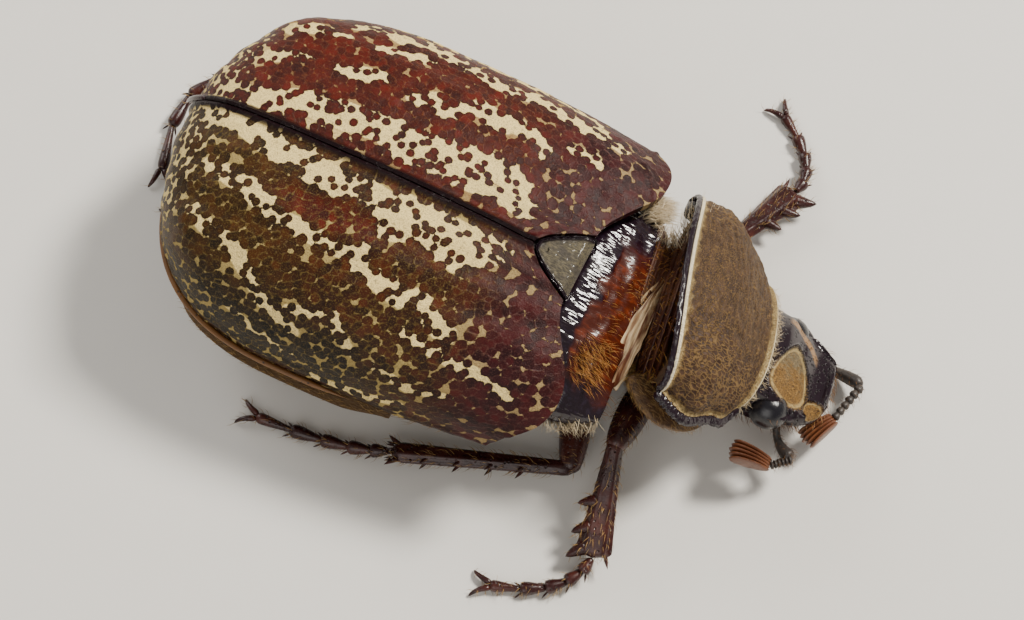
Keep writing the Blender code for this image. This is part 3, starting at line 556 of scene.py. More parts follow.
def note(mesh, name, values):
    """Stores a number or a vector for each vertex under a name."""
    values = np.asarray(values, np.float32)
    if values.ndim == 1:
        mesh.attributes.new(name, "FLOAT", "POINT").data.foreach_set("value", values)
    else:
        mesh.attributes.new(name, "FLOAT_VECTOR", "POINT").data.foreach_set("vector", values.ravel())


def fade(values, low, high):
    """A smooth step from 0 at low to 1 at high, for arrays."""
    share = np.clip((values - low) / (high - low), 0, 1)
    return share * share * (3 - 2 * share)


# Finishes


class Finish:
    """A material while its nodes are put together."""

    def __init__(self, name):
        self.material = bpy.data.materials.new(name)
        self.material.use_nodes = True
        self.tree = self.material.node_tree
        self.shader = self.tree.nodes["Principled BSDF"]

    def node(self, kind, inputs=None, **settings):
        made = self.tree.nodes.new(kind)
        for key, value in settings.items():
            setattr(made, key, value)
        for key, value in (inputs or {}).items():
            self.feed(made.inputs[key], value)
        return made

    def feed(self, socket, value):
        if isinstance(value, bpy.types.NodeSocket):
            self.tree.links.new(value, socket)
        elif socket.type == "RGBA" and len(value) == 3:
            socket.default_value = (*value, 1)
        else:
            socket.default_value = value

    def done(self, colour, roughness, relief=None, depth=0, **inputs):
        """Feeds the shader, with underscores for blanks in its sockets' names, and gives the material."""
        inputs.update(Base_Color=colour, Roughness=roughness)
        if relief is not None:
            inputs["Normal"] = self.bump(relief, depth)
        for key, value in inputs.items():
            self.feed(self.shader.inputs[key.replace("_", " ")], value)
        return self.material

    def millimetres(self):
        """Object coordinates in millimetres."""
        place = self.node("ShaderNodeTexCoord").outputs["Object"]
        return self.node("ShaderNodeVectorMath", {0: place, "Scale": 1 / MM}, operation="SCALE").outputs[0]

    def attribute(self, name, output="Fac"):
        return self.node("ShaderNodeAttribute", attribute_name=name).outputs[output]

    def math(self, operation, *values):
        return self.node("ShaderNodeMath", dict(enumerate(values)), operation=operation).outputs[0]

    def times(self, one, two):
        return self.math("MULTIPLY", one, two)

    def plus(self, base, value, share):
        """A base with a share of another value on top."""
        return self.math("MULTIPLY_ADD", value, share, base)

    def ragged(self, value, grain, amount):
        """A value that a grain moves up and down by half of the amount."""
        return self.plus(value, self.math("SUBTRACT", grain, 0.5), amount)

    def mix(self, share, low, high, blend="MIX"):
        inputs = {0: share, 6: low, 7: high}
        return self.node("ShaderNodeMix", inputs, data_type="RGBA", blend_type=blend).outputs[2]

    def tint(self, colour, other):
        return self.mix(1.0, colour, other, "MULTIPLY")

    def mix_numbers(self, share, low, high):
        return self.node("ShaderNodeMix", {0: share, 2: low, 3: high}).outputs[0]

    def step(self, value, low, high):
        """A smooth step from 0 at low to 1 at high."""
        inputs = {"Value": value, "From Min": low, "From Max": high}
        return self.node("ShaderNodeMapRange", inputs, interpolation_type="SMOOTHSTEP").outputs["Result"]

    def noise(self, vector, scale, detail=3, output="Fac"):
        inputs = {"Vector": vector, "Scale": scale, "Detail": detail, "Roughness": 0.6}
        return self.node("ShaderNodeTexNoise", inputs).outputs[output]

    def blotches(self, vector, scale, low, high):
        """Patches of 1 on a ground of 0, as a noise rises from low to high."""
        return self.step(self.noise(vector, scale), low, high)

    def cells(self, vector, scale, feature="F1", randomness=1.0):
        """Distance from the middle of the nearest cell, or from the nearest border of two cells."""
        inputs = {"Vector": vector, "Scale": scale, "Randomness": randomness}
        return self.node("ShaderNodeTexVoronoi", inputs, feature=feature).outputs["Distance"]

    def stretch(self, vector, scale):
        return self.node("ShaderNodeMapping", {"Vector": vector, "Scale": scale}).outputs[0]

    def bump(self, height, depth):
        """A relief whose full height is the given depth in millimetres."""
        inputs = {"Height": height, "Distance": depth * MM, "Strength": 1.0}
        return self.node("ShaderNodeBump", inputs).outputs[0]


def elytra_finish(colours):
    """Bare round dots over a ground of pale scales, from how far each point lies from its dot."""
    finish = Finish("elytra marbled with scales")
    flat = finish.attribute("flat", "Vector")
    dot = finish.node("ShaderNodeSeparateXYZ", {0: finish.attribute("dot", "Vector")})
    away, seam, own = dot.outputs
    cream_share, rib = finish.attribute("cream"), finish.attribute("rib")
    fine, rough = finish.noise(flat, 15.0, 4), finish.noise(flat, 5.0, 4)
    ragged = finish.ragged(away, finish.noise(flat, 8.0), 0.11)
    scales = finish.step(ragged, 0.0, 0.03)
    own_shade = finish.mix(own, (0.4, 0.43, 0.5), (1.2, 1.1, 1.0))
    slow = finish.mix(finish.blotches(flat, 0.9, 0.35, 0.65), (0.6, 0.62, 0.7), (1.2, 1.1, 1.0))
    tinted = finish.tint(finish.tint(finish.attribute("ground", "Color"), own_shade), slow)
    uneven = finish.mix(rough, (0.4, 0.4, 0.4), (1.5, 1.5, 1.5))
    down = finish.tint(finish.attribute("dust", "Color"), uneven)
    speckled = finish.mix(finish.times(finish.step(fine, 0.5, 0.66), 0.45), tinted, down)
    crease = finish.times(finish.step(seam, 0.1, 0.0), finish.step(rough, 0.32, 0.6))
    creased = finish.mix(finish.times(crease, 0.75), speckled, down)
    rim = finish.times(finish.step(ragged, -0.1, -0.01), finish.step(cream_share, 0.1, 0.5))
    dot_colour = finish.mix(finish.times(rim, 0.6), creased, (0.01, 0.004, 0.003))
    pale = finish.mix(finish.step(fine, 0.28, 0.6), (0.46, 0.34, 0.14), colours.cream)
    dusty = finish.mix(finish.step(rough, 0.56, 0.74), pale, (0.33, 0.25, 0.13))
    in_band = finish.step(cream_share, 0.12, 0.5)
    between_dots = finish.mix(in_band, finish.mix(0.3, down, dusty), dusty)
    marked = finish.mix(scales, dot_colour, between_dots)
    grain = finish.times(fine, finish.mix_numbers(scales, 0.5, 1.0))
    return finish.done(
        finish.mix(rib, marked, (0.007, 0.0015, 0.0025)),
        finish.mix_numbers(rib, finish.mix_numbers(scales, 0.44, 0.9), 0.28),
        finish.plus(finish.plus(grain, crease, 0.4), scales, 0.8), 0.045, Specular_IOR_Level=0.18,
    )


def pronotum_finish(colours):
    """Gold scales on the ridges of a brown wrinkled shield, with a pale scaled margin."""
    finish = Finish("pronotum under tan scales")
    place = finish.attribute("local", "Vector")
    edge, flank, ridge = (finish.attribute(name) for name in ("edge", "flank", "ridge"))
    wander = {0: finish.noise(place, 2.0, 2, "Color"), 1: (0.3, 0.3, 0.3), 2: place}
    bent = finish.node("ShaderNodeVectorMath", wander, operation="MULTIPLY_ADD").outputs[0]
    fine = finish.noise(place, 16.0, 4)
    net = finish.cells(bent, 8.0, "DISTANCE_TO_EDGE")
    rows = finish.cells(finish.stretch(bent, (2.8, 5.8, 5.8)), 1.0, "DISTANCE_TO_EDGE")
    pattern = finish.mix_numbers(flank, net, finish.times(rows, 0.85))
    crest = finish.step(finish.ragged(pattern, fine, 0.3), 0.14, 0.03)
    worn = finish.mix_numbers(finish.blotches(place, 1.3, 0.35, 0.65), 0.55, 0.95)
    scaled = finish.times(crest, worn)
    disc = finish.mix(finish.step(ridge, -0.4, 0.5), colours.disc, (0.06, 0.028, 0.012))
    body = finish.mix(scaled, disc, finish.mix(fine, (0.13, 0.075, 0.03), colours.gold))
    border = finish.mix(finish.step(fine, 0.35, 0.65), (0.24, 0.15, 0.055), (0.6, 0.45, 0.2))
    belt = finish.plus(finish.times(edge, -1.0), finish.noise(place, 2.6), 0.8)
    banded = finish.mix(finish.times(finish.step(belt, -0.1, 0.25), 0.8), body, border)
    margin = finish.mix(finish.step(edge, 0.13, 0.09), banded, (0.82, 0.72, 0.5))
    return finish.done(
        finish.mix(finish.step(edge, -0.3, -0.6), margin, colours.cuticle),
        finish.mix_numbers(scaled, 0.6, 0.8), finish.plus(crest, fine, 0.3), 0.045,
        Specular_IOR_Level=0.3,
    )


def cuticle_finish(name, colour, glint, gloss=0.2, punctures=5.0, depth=0.03):
    """Smooth bare chitin, pitted, with a slow change of tint."""
    finish = Finish(name)
    place = finish.millimetres()
    pit = finish.step(finish.cells(place, punctures), 0.0, 0.28)
    tint = finish.mix(finish.times(finish.blotches(place, 0.8, 0.4, 0.7), 0.5), colour, glint)
    sheen = finish.mix_numbers(finish.noise(place, 6.0, 4), gloss * 0.6, gloss * 1.7)
    grain = finish.plus(pit, finish.noise(place, 18.0), 0.25)
    shade = finish.mix(pit, (0.006, 0.003, 0.004), tint)
    return finish.done(shade, sheen, grain, depth, Specular_IOR_Level=0.45)


def plate_finish(name, colour, light, roughness=0.5):
    """Plates under a thin down, mottled and finely streaked, with a tan strip where one is noted."""
    finish = Finish(name)
    place, strip = finish.millimetres(), finish.attribute("strip")
    grain = finish.noise(finish.stretch(place, (4.0, 14.0, 14.0)), 1.0, 4)
    slow = finish.noise(place, 0.9, 4)
    shade = finish.mix(finish.step(slow, 0.35, 0.68), colour, light)
    streaks = finish.times(finish.step(grain, 0.42, 0.7), finish.mix_numbers(strip, 1.0, 0.3))
    tan = finish.mix(slow, (0.2, 0.11, 0.04), (0.11, 0.06, 0.024))
    return finish.done(
        finish.mix(streaks, finish.mix(strip, shade, tan), (0.03, 0.012, 0.006)),
        finish.mix_numbers(grain, roughness * 0.7, roughness * 1.3), grain, 0.05,
    )


def mesothorax_finish(colours):
    """Black glossy striated chitin behind, and a rust-red membrane in front whose lighter red streaks are
    partly its own tone and partly painted highlight.
    """
    finish = Finish("mesothorax black and rust")
    place, rust = finish.millimetres(), finish.attribute("rust")
    ridges = finish.noise(finish.stretch(place, (1.0, 4.0, 1.5)), 1.0, 1.5)
    streaks = finish.noise(finish.stretch(place, (0.9, 3.4, 2.0)), 1.0)
    # The lighter red streaks are partly the membrane's own tone and partly painted highlight.
    red = finish.mix(finish.step(streaks, 0.46, 0.7), colours.rust, (0.12, 0.02, 0.005))
    black = finish.mix(finish.blotches(place, 4.5, 0.5, 0.62), colours.cuticle, (0.016, 0.009, 0.018))
    relief = finish.mix_numbers(rust, ridges, finish.times(streaks, 0.45))
    return finish.done(
        finish.mix(rust, black, red), finish.mix_numbers(rust, 0.13, 0.22), relief, 0.1,
        Specular_IOR_Level=0.55,
    )


def collar_finish():
    """Pale skin with rust-brown creases that run along its folds; the creases are dark partly from the
    skin's own rust colour and partly from painted shade.
    """
    finish = Finish("neck collar")
    fold = finish.attribute("fold", "Vector")
    creases, fine = finish.noise(fold, 1.0), finish.noise(fold, 5.0)
    # The dark rust-brown creases are partly the skin's own colour and partly painted shade in the folds.
    crease_shaded_tone = finish.mix(finish.step(creases, 0.38, 0.56), (0.1, 0.025, 0.01), (0.72, 0.55, 0.33))
    worn = finish.mix(finish.times(finish.step(fine, 0.5, 0.72), 0.6), crease_shaded_tone, (0.3, 0.15, 0.06))
    return finish.done(worn, 0.36, finish.plus(creases, fine, 0.3), 0.12)


def head_finish(colours):
    """Purple-black glossy chitin with patches of golden scales and a tan strip."""
    finish = Finish("head with golden patches")
    place, gold = finish.millimetres(), finish.attribute("gold")
    fine = finish.noise(finish.stretch(place, (9.0, 22.0, 22.0)), 1.0, 4)
    pits = finish.step(finish.cells(place, 5.2), 0.08, 0.4)
    patch = finish.step(finish.ragged(gold, fine, 0.5), 0.42, 0.58)
    beside = finish.node("ShaderNodeSeparateXYZ", {0: place}).outputs["Y"]
    far = finish.step(finish.math("ADD", beside, finish.blotches(place, 1.6, 0.38, 0.62)), 1.4, 2.8)
    light = finish.mix(far, (0.3, 0.16, 0.035), (0.22, 0.17, 0.09))
    dark = finish.mix(far, (0.05, 0.022, 0.006), (0.07, 0.05, 0.026))
    scales = finish.mix(finish.step(fine, 0.4, 0.6), dark, light)
    rim = finish.times(finish.step(gold, 0.5, 0.55), finish.step(gold, 0.68, 0.58))
    rimmed = finish.mix(finish.times(rim, 0.8), scales, (0.46, 0.34, 0.15))
    bare = finish.mix(pits, (0.005, 0.003, 0.004), colours.cuticle)
    marked = finish.mix(patch, bare, rimmed)
    return finish.done(
        finish.mix(finish.attribute("strip"), marked, (0.22, 0.115, 0.04)),
        finish.mix_numbers(patch, finish.mix_numbers(pits, 0.45, 0.2), 0.75),
        finish.mix_numbers(patch, pits, fine), 0.08, Specular_IOR_Level=0.45,
    )


def eye_finish():
    """A polished eye of many small facets."""
    finish = Finish("eye with facets")
    facets = finish.math("SUBTRACT", 1.0, finish.cells(finish.millimetres(), 16.0, randomness=0.25))
    return finish.done((0.006, 0.0055, 0.009), 0.2, facets, 0.01, Coat_Weight=0.15, Coat_Roughness=0.06)


def scutellum_finish(colours):
    """Grey down inside a glossy double rim."""
    finish = Finish("scutellum with grey down")
    place, down = finish.millimetres(), finish.attribute("down")
    fine = finish.noise(finish.stretch(place, (4.0, 16.0, 16.0)), 1.0, 4)
    worn = finish.blotches(place, 1.4, 0.4, 0.65)
    down_colour = finish.mix(worn, (0.12, 0.098, 0.052), (0.055, 0.044, 0.034))
    grey = finish.mix(finish.step(fine, 0.35, 0.65), (0.03, 0.024, 0.015), down_colour)
    return finish.done(
        finish.mix(down, colours.cuticle, grey), finish.mix_numbers(down, 0.14, 0.75), fine, 0.05,
        Coat_Weight=0.2, Coat_Roughness=0.1,
    )


def hair_finish(name, root, tip):
    """Hair whose colour changes from strand to strand."""
    finish = Finish(name)
    return finish.done(finish.mix(finish.attribute("strand"), root, tip), 0.42, Specular_IOR_Level=0.5)


def floor_finish(colour):
    finish = Finish("plain floor")
    light = tuple(min(1, value * 1.04) for value in colour)
    return finish.done(finish.mix(finish.noise(finish.millimetres(), 0.4, 4), colour, light), 0.8)


# Elytra


def half_width(x):
    """Half the width of the closed elytra at x."""
    if x > WIDEST_X:
        share = (x - WIDEST_X) / (SHOULDER_X - WIDEST_X)
        return ELYTRA_HALF_WIDTH * (1 - SHOULDER_TAPER * share**2.2)
    return ELYTRA_HALF_WIDTH * rounded((WIDEST_X - x) / (WIDEST_X - APEX_X), TAIL_ROUNDING)


def edge_height(x):
    share = max(0, x - WIDEST_X) / (SHOULDER_X - WIDEST_X)
    return EDGE_Z + SHOULDER_EDGE_RISE * share**2


def back_height(x):
    if x > WIDEST_X:
        share = (x - WIDEST_X) / (SHOULDER_X - WIDEST_X)
        return BACK_Z - SHOULDER_BACK_DROP * share**2
    tall = BACK_Z - EDGE_Z
    return EDGE_Z + tall * rounded((WIDEST_X - x) / (WIDEST_X - APEX_X), BACK_ROUNDING)


def dome(x, angle, inset=0.0):
    """A point of the back at an angle from the suture, 0, down to the side edge, 90 degrees."""
    wide = max(half_width(x) - inset, 0)
    tall = max(back_height(x) - edge_height(x) - inset, 0)
    lift = power(cos(angle), SECTION_POWER)
    if lift < 0:
        lift *= TUCK_DEPTH
    return Vector((x, wide * power(sin(angle), SECTION_POWER), edge_height(x) + tall * lift))


def elytron_front(across):
    """Where the front edge of an elytron lies at a distance from the middle."""
    beside = SCUTELLUM_HALF_WIDTH + 1.5 * SCUTELLUM_GAP
    corner = half_width(SHOULDER_X) - SHOULDER_CORNER
    tip = SCUTELLUM_TIP_X - 1.6 * SCUTELLUM_GAP
    if across < beside:
        share = (across / beside) ** (1 / SCUTELLUM_ROUNDING)
        return between(tip, SCUTELLUM_FRONT_X + SCUTELLUM_GAP, share)
    if across < corner:
        return along([(beside, SCUTELLUM_FRONT_X + SCUTELLUM_GAP), (corner, SHOULDER_X)], across)
    return SHOULDER_X - SHOULDER_DEPTH * min(1, (across - corner) / SHOULDER_CORNER) ** 2.4


def elytron_relief(x, arc, span, side):
    """How far an elytron stands out from the plain dome, at a distance from the suture."""
    rib = 0.1 * hump(arc, SUTURE_RIB * 0.45, SUTURE_RIB * 0.4) - 0.05 * hump(arc, SUTURE_RIB * 1.5, 0.15)
    bead = 0.09 * hump(span - arc, 1.15, 0.18)
    umbone = 0.3 * hump(x, UMBONE_PLACE[0], 1.4) * hump(arc, UMBONE_PLACE[1], 1.5)
    callus = 0.3 * hump(x, CALLUS_PLACE[0], 1.3) * hump(arc, CALLUS_PLACE[1], 1.5)
    rows = 0.035 * cos(arc * 2 * pi / STRIA_SPACING) * ease(arc / 2) * ease((8 - arc) / 2)
    rough = 0.06 * noise.noise(Vector((x * 0.5, arc * 0.7, side * 5.0)))
    fine = 0.025 * noise.noise(Vector((x * 2.4, arc * 2.4, side * 9.0)))
    front = 0.08 * hump(x - elytron_front(arc), -0.15, 0.18)
    return rib + bead + umbone + callus + rows + rough + fine + front


def make_elytron(side_name, material, colours, spacing):
    """A wing case: a sheet over half of the back with its relief, given its thickness inwards."""
    side = SIDES[side_name]
    last_x = between(WIDEST_X, APEX_X, APEX_SHARE)
    bm = bmesh.new()
    bmesh.ops.create_grid(bm, x_segments=ELYTRON_ROWS, y_segments=ELYTRON_COLUMNS, size=1)
    flat = bm.verts.layers.float_vector.new("flat")
    rib = bm.verts.layers.float.new("rib")
    grid = {}
    for vert in bm.verts:
        back, out = (vert.co.x + 1) / 2, (vert.co.y + 1) / 2
        grid[round(back * ELYTRON_ROWS), round(out * ELYTRON_COLUMNS)] = vert
        angle = out * radians(TUCK_DEGREES)
        front = SHOULDER_X
        for _ in range(3):
            front = elytron_front(half_width(front) * sin(angle) ** SECTION_POWER)
        below = (out * TUCK_DEGREES - LOWER_CORNER_DEGREES) / (TUCK_DEGREES - LOWER_CORNER_DEGREES)
        front -= LOWER_CORNER * max(0, below) ** 2
        if back < 0.5:
            x = between(front, WIDEST_X, back * 2)
        else:
            x = between(WIDEST_X, last_x, sin((back - 0.5) * pi))
        point = dome(x, angle)
        vert.co = (point.x, side * max(point.y, SUTURE_GAP), point.z)
    bm.normal_update()
    top = max(bm.faces, key=lambda face: face.calc_center_median().z)
    if top.normal.z < 0:
        bmesh.ops.reverse_faces(bm, faces=bm.faces)
        bm.normal_update()
    lines = []
    for row in range(ELYTRON_ROWS + 1):
        places = [grid[row, column].co.copy() for column in range(ELYTRON_COLUMNS + 1)]
        arcs = [0]
        for one, two in zip(places, places[1:]):
            arcs.append(arcs[-1] + (two - one).length)
        lines.append(arcs)
    moves = {}
    for (row, column), vert in grid.items():
        arc, span = lines[row][column], lines[row][-1]
        moves[vert] = vert.normal * elytron_relief(vert.co.x, arc, span, side)
        vert[flat] = (vert.co.x, arc, span)
        vert[rib] = ease((SUTURE_RIB + 0.05 - arc) / 0.1)
    for vert, move in moves.items():
        vert.co += move
        vert.co.y = side * max(side * vert.co.y, SUTURE_GAP)
    bmesh.ops.solidify(bm, geom=bm.faces[:], thickness=SHELL)
    piece = to_piece(f"skin_elytron_{side_name}", bm, material, [f"elytron_{side_name}"])
    paint_elytron(piece.data, side_name, colours, spacing)
    return piece


def band_share(places, bands):
    """How far each place lies inside the nearest band, from 0 outside to 1 inside."""
    share = np.zeros(len(places))
    for band in bands:
        for (x1, s1, w1), (x2, s2, w2) in zip(band, band[1:]):
            start, step = np.array((x1, s1)), np.array((x2 - x1, s2 - s1))
            part = np.clip((places - start) @ step / (step @ step), 0, 1)
            away = np.linalg.norm(places - start - part[:, None] * step, axis=1)
            width = w1 + (w2 - w1) * part
            share = np.maximum(share, 1 - fade(away, width, width + BAND_SOFTNESS))
    return share


def openness(x, arc, side_name):
    """How much of the pale ground shows between the dots away from the bands, from 0 to 1."""
    tail = 1 - fade(x, -16.0, -13.6)
    beside_rib = 0.75 * (1 - fade(arc, 0.7, 1.1)) * (1 - fade(x, -9.5, -6.5))
    flank = fade(arc, 6.0, 8.6) * (1 - fade(x, -4.0, 1.0)) * FLANK_OPENNESS[side_name]
    shoulder = 0.25 * fade(x, -1.0, 1.0)
    return np.maximum(np.maximum(tail, beside_rib), np.maximum(flank, shoulder))


def tail_run():
    """Places along the body, and how far along the surface each lies, which grows faster at the tail."""
    places = np.append(APEX_X + (WIDEST_X - APEX_X) * np.linspace(0, 1, 300) ** 2, SHOULDER_X + 1)
    points = np.array([dome(x, radians(45)) for x in places[:-1]])
    steps = np.linalg.norm(np.diff(points, axis=0), axis=1)
    run = WIDEST_X - np.append(np.cumsum(steps[::-1])[::-1], 0)
    return places, np.append(run, places[-1])


def sow_dots(side_name, spacing):
    """The bare dots of an elytron: their places on the flat, their radii and a number of their own."""
    random = np.random.default_rng(DOT_SEEDS[side_name])
    places, run = tail_run()
    rows = []
    for number, arc in enumerate(np.arange(0.1, 14.0, spacing * 0.87)):
        along_back = np.arange(run[0] - 0.5, SHOULDER_X + 0.5, spacing) + (number % 2) * spacing / 2
        rows.append(np.stack([along_back, np.full(len(along_back), arc)], 1))
    centres = np.concatenate(rows)
    centres += random.uniform(-DOT_JITTER, DOT_JITTER, centres.shape) * spacing
    count = len(centres)
    worn = np.array([noise.noise(Vector((row * 1.1, arc * 1.4, 4.0))) for row, arc in centres])
    x, arc = np.interp(centres[:, 0], run, places), centres[:, 1]
    cream = band_share(np.stack([x, arc], 1), BANDS[side_name]) + worn * 0.45
    size = random.uniform(0.84, 1.12, count) * spacing
    radius = size * (0.63 - 0.17 * openness(x, arc, side_name))
    radius = np.where(cream > 0.45, size * 0.5, radius)
    kept = random.random(count) < 0.5
    radius = np.where(cream > 0.72, np.where(kept, size * 0.43, -spacing), radius)
    specks = (random.random(count) < 0.05) & (cream < 0.3)
    return centres, np.where(specks, -spacing * 0.4, radius), random.random(count)


def paint_elytron(mesh, side_name, colours, spacing):
    """Stores each point's distance from its dot, its share of pale scales and its ground colour."""
    flat = np.empty(len(mesh.vertices) * 3, np.float32)
    mesh.attributes["flat"].data.foreach_get("vector", flat)
    flat = flat.reshape(-1, 3).astype(float)
    x, arc, span = flat.T
    surface = np.stack([np.interp(x, *tail_run()), arc], 1)
    centres, radii, own = sow_dots(side_name, spacing)
    tree = KDTree(len(centres))
    for number, centre in enumerate(centres):
        tree.insert((*centre, 0), number)
    tree.balance()
    near = np.array([[hit[1] for hit in tree.find_n((*place, 0), DOTS_IN_REACH)] for place in surface])
    reach = np.linalg.norm(surface[:, None] - centres[near], axis=2) - radii[near]
    two = np.sort(reach, axis=1)[:, :2]
    first = np.take_along_axis(near, reach.argmin(1)[:, None], 1)[:, 0]
    note(mesh, "dot", np.stack([two[:, 0], two[:, 1] - two[:, 0], own[first]], 1))
    cream = band_share(flat[:, :2], BANDS[side_name])
    bare = (1 - 0.75 * fade(arc, 5.0, 7.5)) * (1 - fade(x, -2.0, 0.0))
    note(mesh, "cream", np.maximum(cream, 0.5 * openness(x, arc, side_name) * bare))
    rear = np.array(colours.olive if side_name == "right" else colours.maroon)
    middle = np.array(colours.brown if side_name == "right" else colours.maroon)
    flank = np.array(colours.slate if side_name == "right" else colours.maroon) * 0.8
    ground = rear + (middle - rear) * fade(x, -12.5, -5.0)[:, None]
    ground += (flank - ground) * (fade(arc, 6.0, 9.5) * (1 - fade(x, -6.0, -1.0)))[:, None]
    ground += (np.array(colours.purple) - ground) * fade(x, -2.5, 1.6)[:, None]
    ground += (np.array(colours.purple) * 0.5 - ground) * fade(arc, span - 1.3, span - 0.8)[:, None]
    if side_name == "right":
        ahead, beside = (x - MAROON_PATCH[0]) / 2.6, (arc - MAROON_PATCH[1]) / 0.75
        patch = np.exp(-(ahead**2) - beside**2)
        ground += (np.array(colours.maroon) - ground) * np.clip(patch * 1.5, 0, 1)[:, None]
    note(mesh, "ground", ground)
    texture_place = np.stack([surface[:, 0], arc, span], 1).astype(np.float32)
    mesh.attributes["flat"].data.foreach_set("vector", texture_place.ravel())
    dust = np.array(DUST[side_name])
    note(mesh, "dust", dust + (np.array(FRONT_DUST) - dust) * fade(x, -2.5, 1.6)[:, None])


def make_edge_bead(side_name, material):
    """The thin bead along the lower edge of a wing case, from the flank round the tail."""
    side = SIDES[side_name]

    def edge(share):
        x = between(BEAD_FRONT_X, BEAD_END_X, sin(share * pi / 2))
        return Vector((x, side * half_width(x), edge_height(x) - BEAD_DROP))

    def place(share, angle):
        ahead = edge(min(share + 0.01, 1)) - edge(max(share - 0.01, 0))
        outward = Vector((ahead.y, -ahead.x, 0)).normalized() * side
        radius = BEAD_RADIUS * ease(min(share, 1 - share) * 8)
        across = outward * (BEAD_RADIUS * 0.75 + radius * cos(angle))
        return edge(share) + across + Vector((0, 0, radius * sin(angle)))

    return to_piece(f"elytron_bead_{side_name}", ball(place, 120, 14), material)


def make_suture_hook(material):
    """The hooked end of the sutural rib at the apex of the left elytron."""
    start = Vector((HOOK_START_X, HOOK_CORNER[1], back_height(HOOK_START_X) - 0.03))

    def radii(share):
        return 0.15 * (1 - 0.6 * share**3), 0.12

    bm = limb(bend(start, Vector(HOOK_CORNER), Vector(HOOK_END)), radii, ACROSS, 40, 16)
    return to_piece("elytron_hook", bm, material)


# Scutellum


def make_scutellum(material):
    """The small shield: a raised double rim round a downy middle."""
    bm = bmesh.new()
    bmesh.ops.create_grid(bm, x_segments=SCUTELLUM_STEPS, y_segments=SCUTELLUM_STEPS, size=1)
    down = bm.verts.layers.float.new("down")
    for vert in bm.verts:
        share = max((vert.co.x + 1) / 2, 0.001) ** 1.5
        across = vert.co.y * share**SCUTELLUM_ROUNDING
        x = between(SCUTELLUM_TIP_X, SCUTELLUM_FRONT_X + 0.1, share)
        inside = (1 - abs(vert.co.y)) * SCUTELLUM_HALF_WIDTH * share**SCUTELLUM_ROUNDING * 0.8
        inside = min(inside, x - SCUTELLUM_TIP_X - 0.04)
        relief = 0.15 * hump(inside, 0.05, 0.035) + 0.13 * hump(inside, 0.15, 0.035)
        relief += 0.06 * ease(inside / 0.8) - 0.16 * ease((0.04 - inside) / 0.04)
        relief += 0.02 * noise.noise(Vector((x * 5, across * 8, 1)))
        z = back_height(x) - 0.1 + relief - 0.25 * ease((share - 0.85) / 0.15)
        vert.co = (x, across * SCUTELLUM_HALF_WIDTH, z)
        vert[down] = ease((inside - 0.17) / 0.06)
    bm.normal_update()
    if bm.faces[:][0].normal.z < 0:
        bmesh.ops.reverse_faces(bm, faces=bm.faces)
    bmesh.ops.solidify(bm, geom=bm.faces[:], thickness=SCUTELLUM_THICKNESS)
    return to_piece("skin_scutellum", bm, material, ["scutellum"])


# Trunk


def trunk_point(x, angle, overhang, lift=0.0):
    """A point of the trunk's skin at x, at an angle from the top of the back, 0, to the belly, 180."""
    turn = abs(angle) / pi
    way = 1 if angle >= 0 else -1
    wall = max(half_width(x) - UNDER_SHELL, 0.3)
    wide = max(half_width(x) + overhang, 0.5)
    shelf_z = edge_height(x) - SHELF_DROP
    side_z = edge_height(x) - SIDE_DROP
    if turn < 0.47:
        point = dome(x, turn / 0.43 * radians(76), UNDER_SHELL)
        return Vector((x, way * point.y, point.z))
    if turn < 0.53:
        return Vector((x, way * wall, shelf_z))
    across = wide * min(1, (1 - turn) / 0.43) ** 0.8
    flat = min(BELLY_FLAT, wide * 0.6)
    spread = max(0, (across - flat) / (wide - flat))
    keel = max(0, min(1, (x - BELLY_BLEND_X) / (ABDOMEN_FRONT_X - BELLY_BLEND_X)))
    rise = between(spread**BELLY_POWER, spread**KEEL_POWER, keel)
    return Vector((x, way * across, lift + (side_z - lift) * rise))


def hind_body(share, angle):
    """A point of the hind body, stepped at each of its belly plates and rounded at the tail."""
    x = between(ABDOMEN_FRONT_X + 0.3, TAIL_X, share)
    plate = share * STERNITES % 1
    under = ease((abs(angle) / pi - 0.6) / 0.15)
    step = STERNITE_STEP * under * max(0, plate - 0.82) / 0.18
    lift = BELLY_LIFT * max(0, (BELLY_LIFT_X - x) / (BELLY_LIFT_X - TAIL_X)) ** 1.5
    narrowing = STRIP_TAPER * ease((x - ABDOMEN_FRONT_X) / 2.6 + 0.9)
    point = trunk_point(x, angle, BELLY_OVERHANG - step - narrowing, lift)
    closing = rounded((TAIL_START_X - x) / (TAIL_START_X - TAIL_X), 2.4)
    return Vector((x, point.y * closing, max(0, between(TAIL_Z, point.z, closing))))


def make_abdomen(material):
    """The hind body in one skin, with its last plate and the tan strip under the edge of the elytra."""
    bm = ball(hind_body, 120, 100)
    piece = to_piece("skin_abdomen", bm, material, ["abdomen", "pygidium"])
    points = points_of(piece.data)
    wide = np.array([half_width(x) for x in points[:, 0]])
    edge = np.array([edge_height(x) for x in points[:, 0]])
    beside = fade(np.abs(points[:, 1]), wide - 0.6, wide - 0.2)
    note(piece.data, "strip", beside * fade(points[:, 2], edge - 2.6, edge - 1.9))
    return piece


def coxa(name):
    """The knob that a leg grows from."""
    root = leg_root(name)
    tall = FRONT_COXA_HEIGHT if name.startswith("front") else COXA_RADIUS

    def place(share, angle):
        ring = COXA_RADIUS * sin(share * pi)
        lift = cos(share * pi)
        lift *= tall if lift > 0 else COXA_RADIUS
        return root + Vector((ring * cos(angle), ring * sin(angle), lift))

    knob = ball(place, 18, 28)
    rest_on_floor(knob)
    return knob


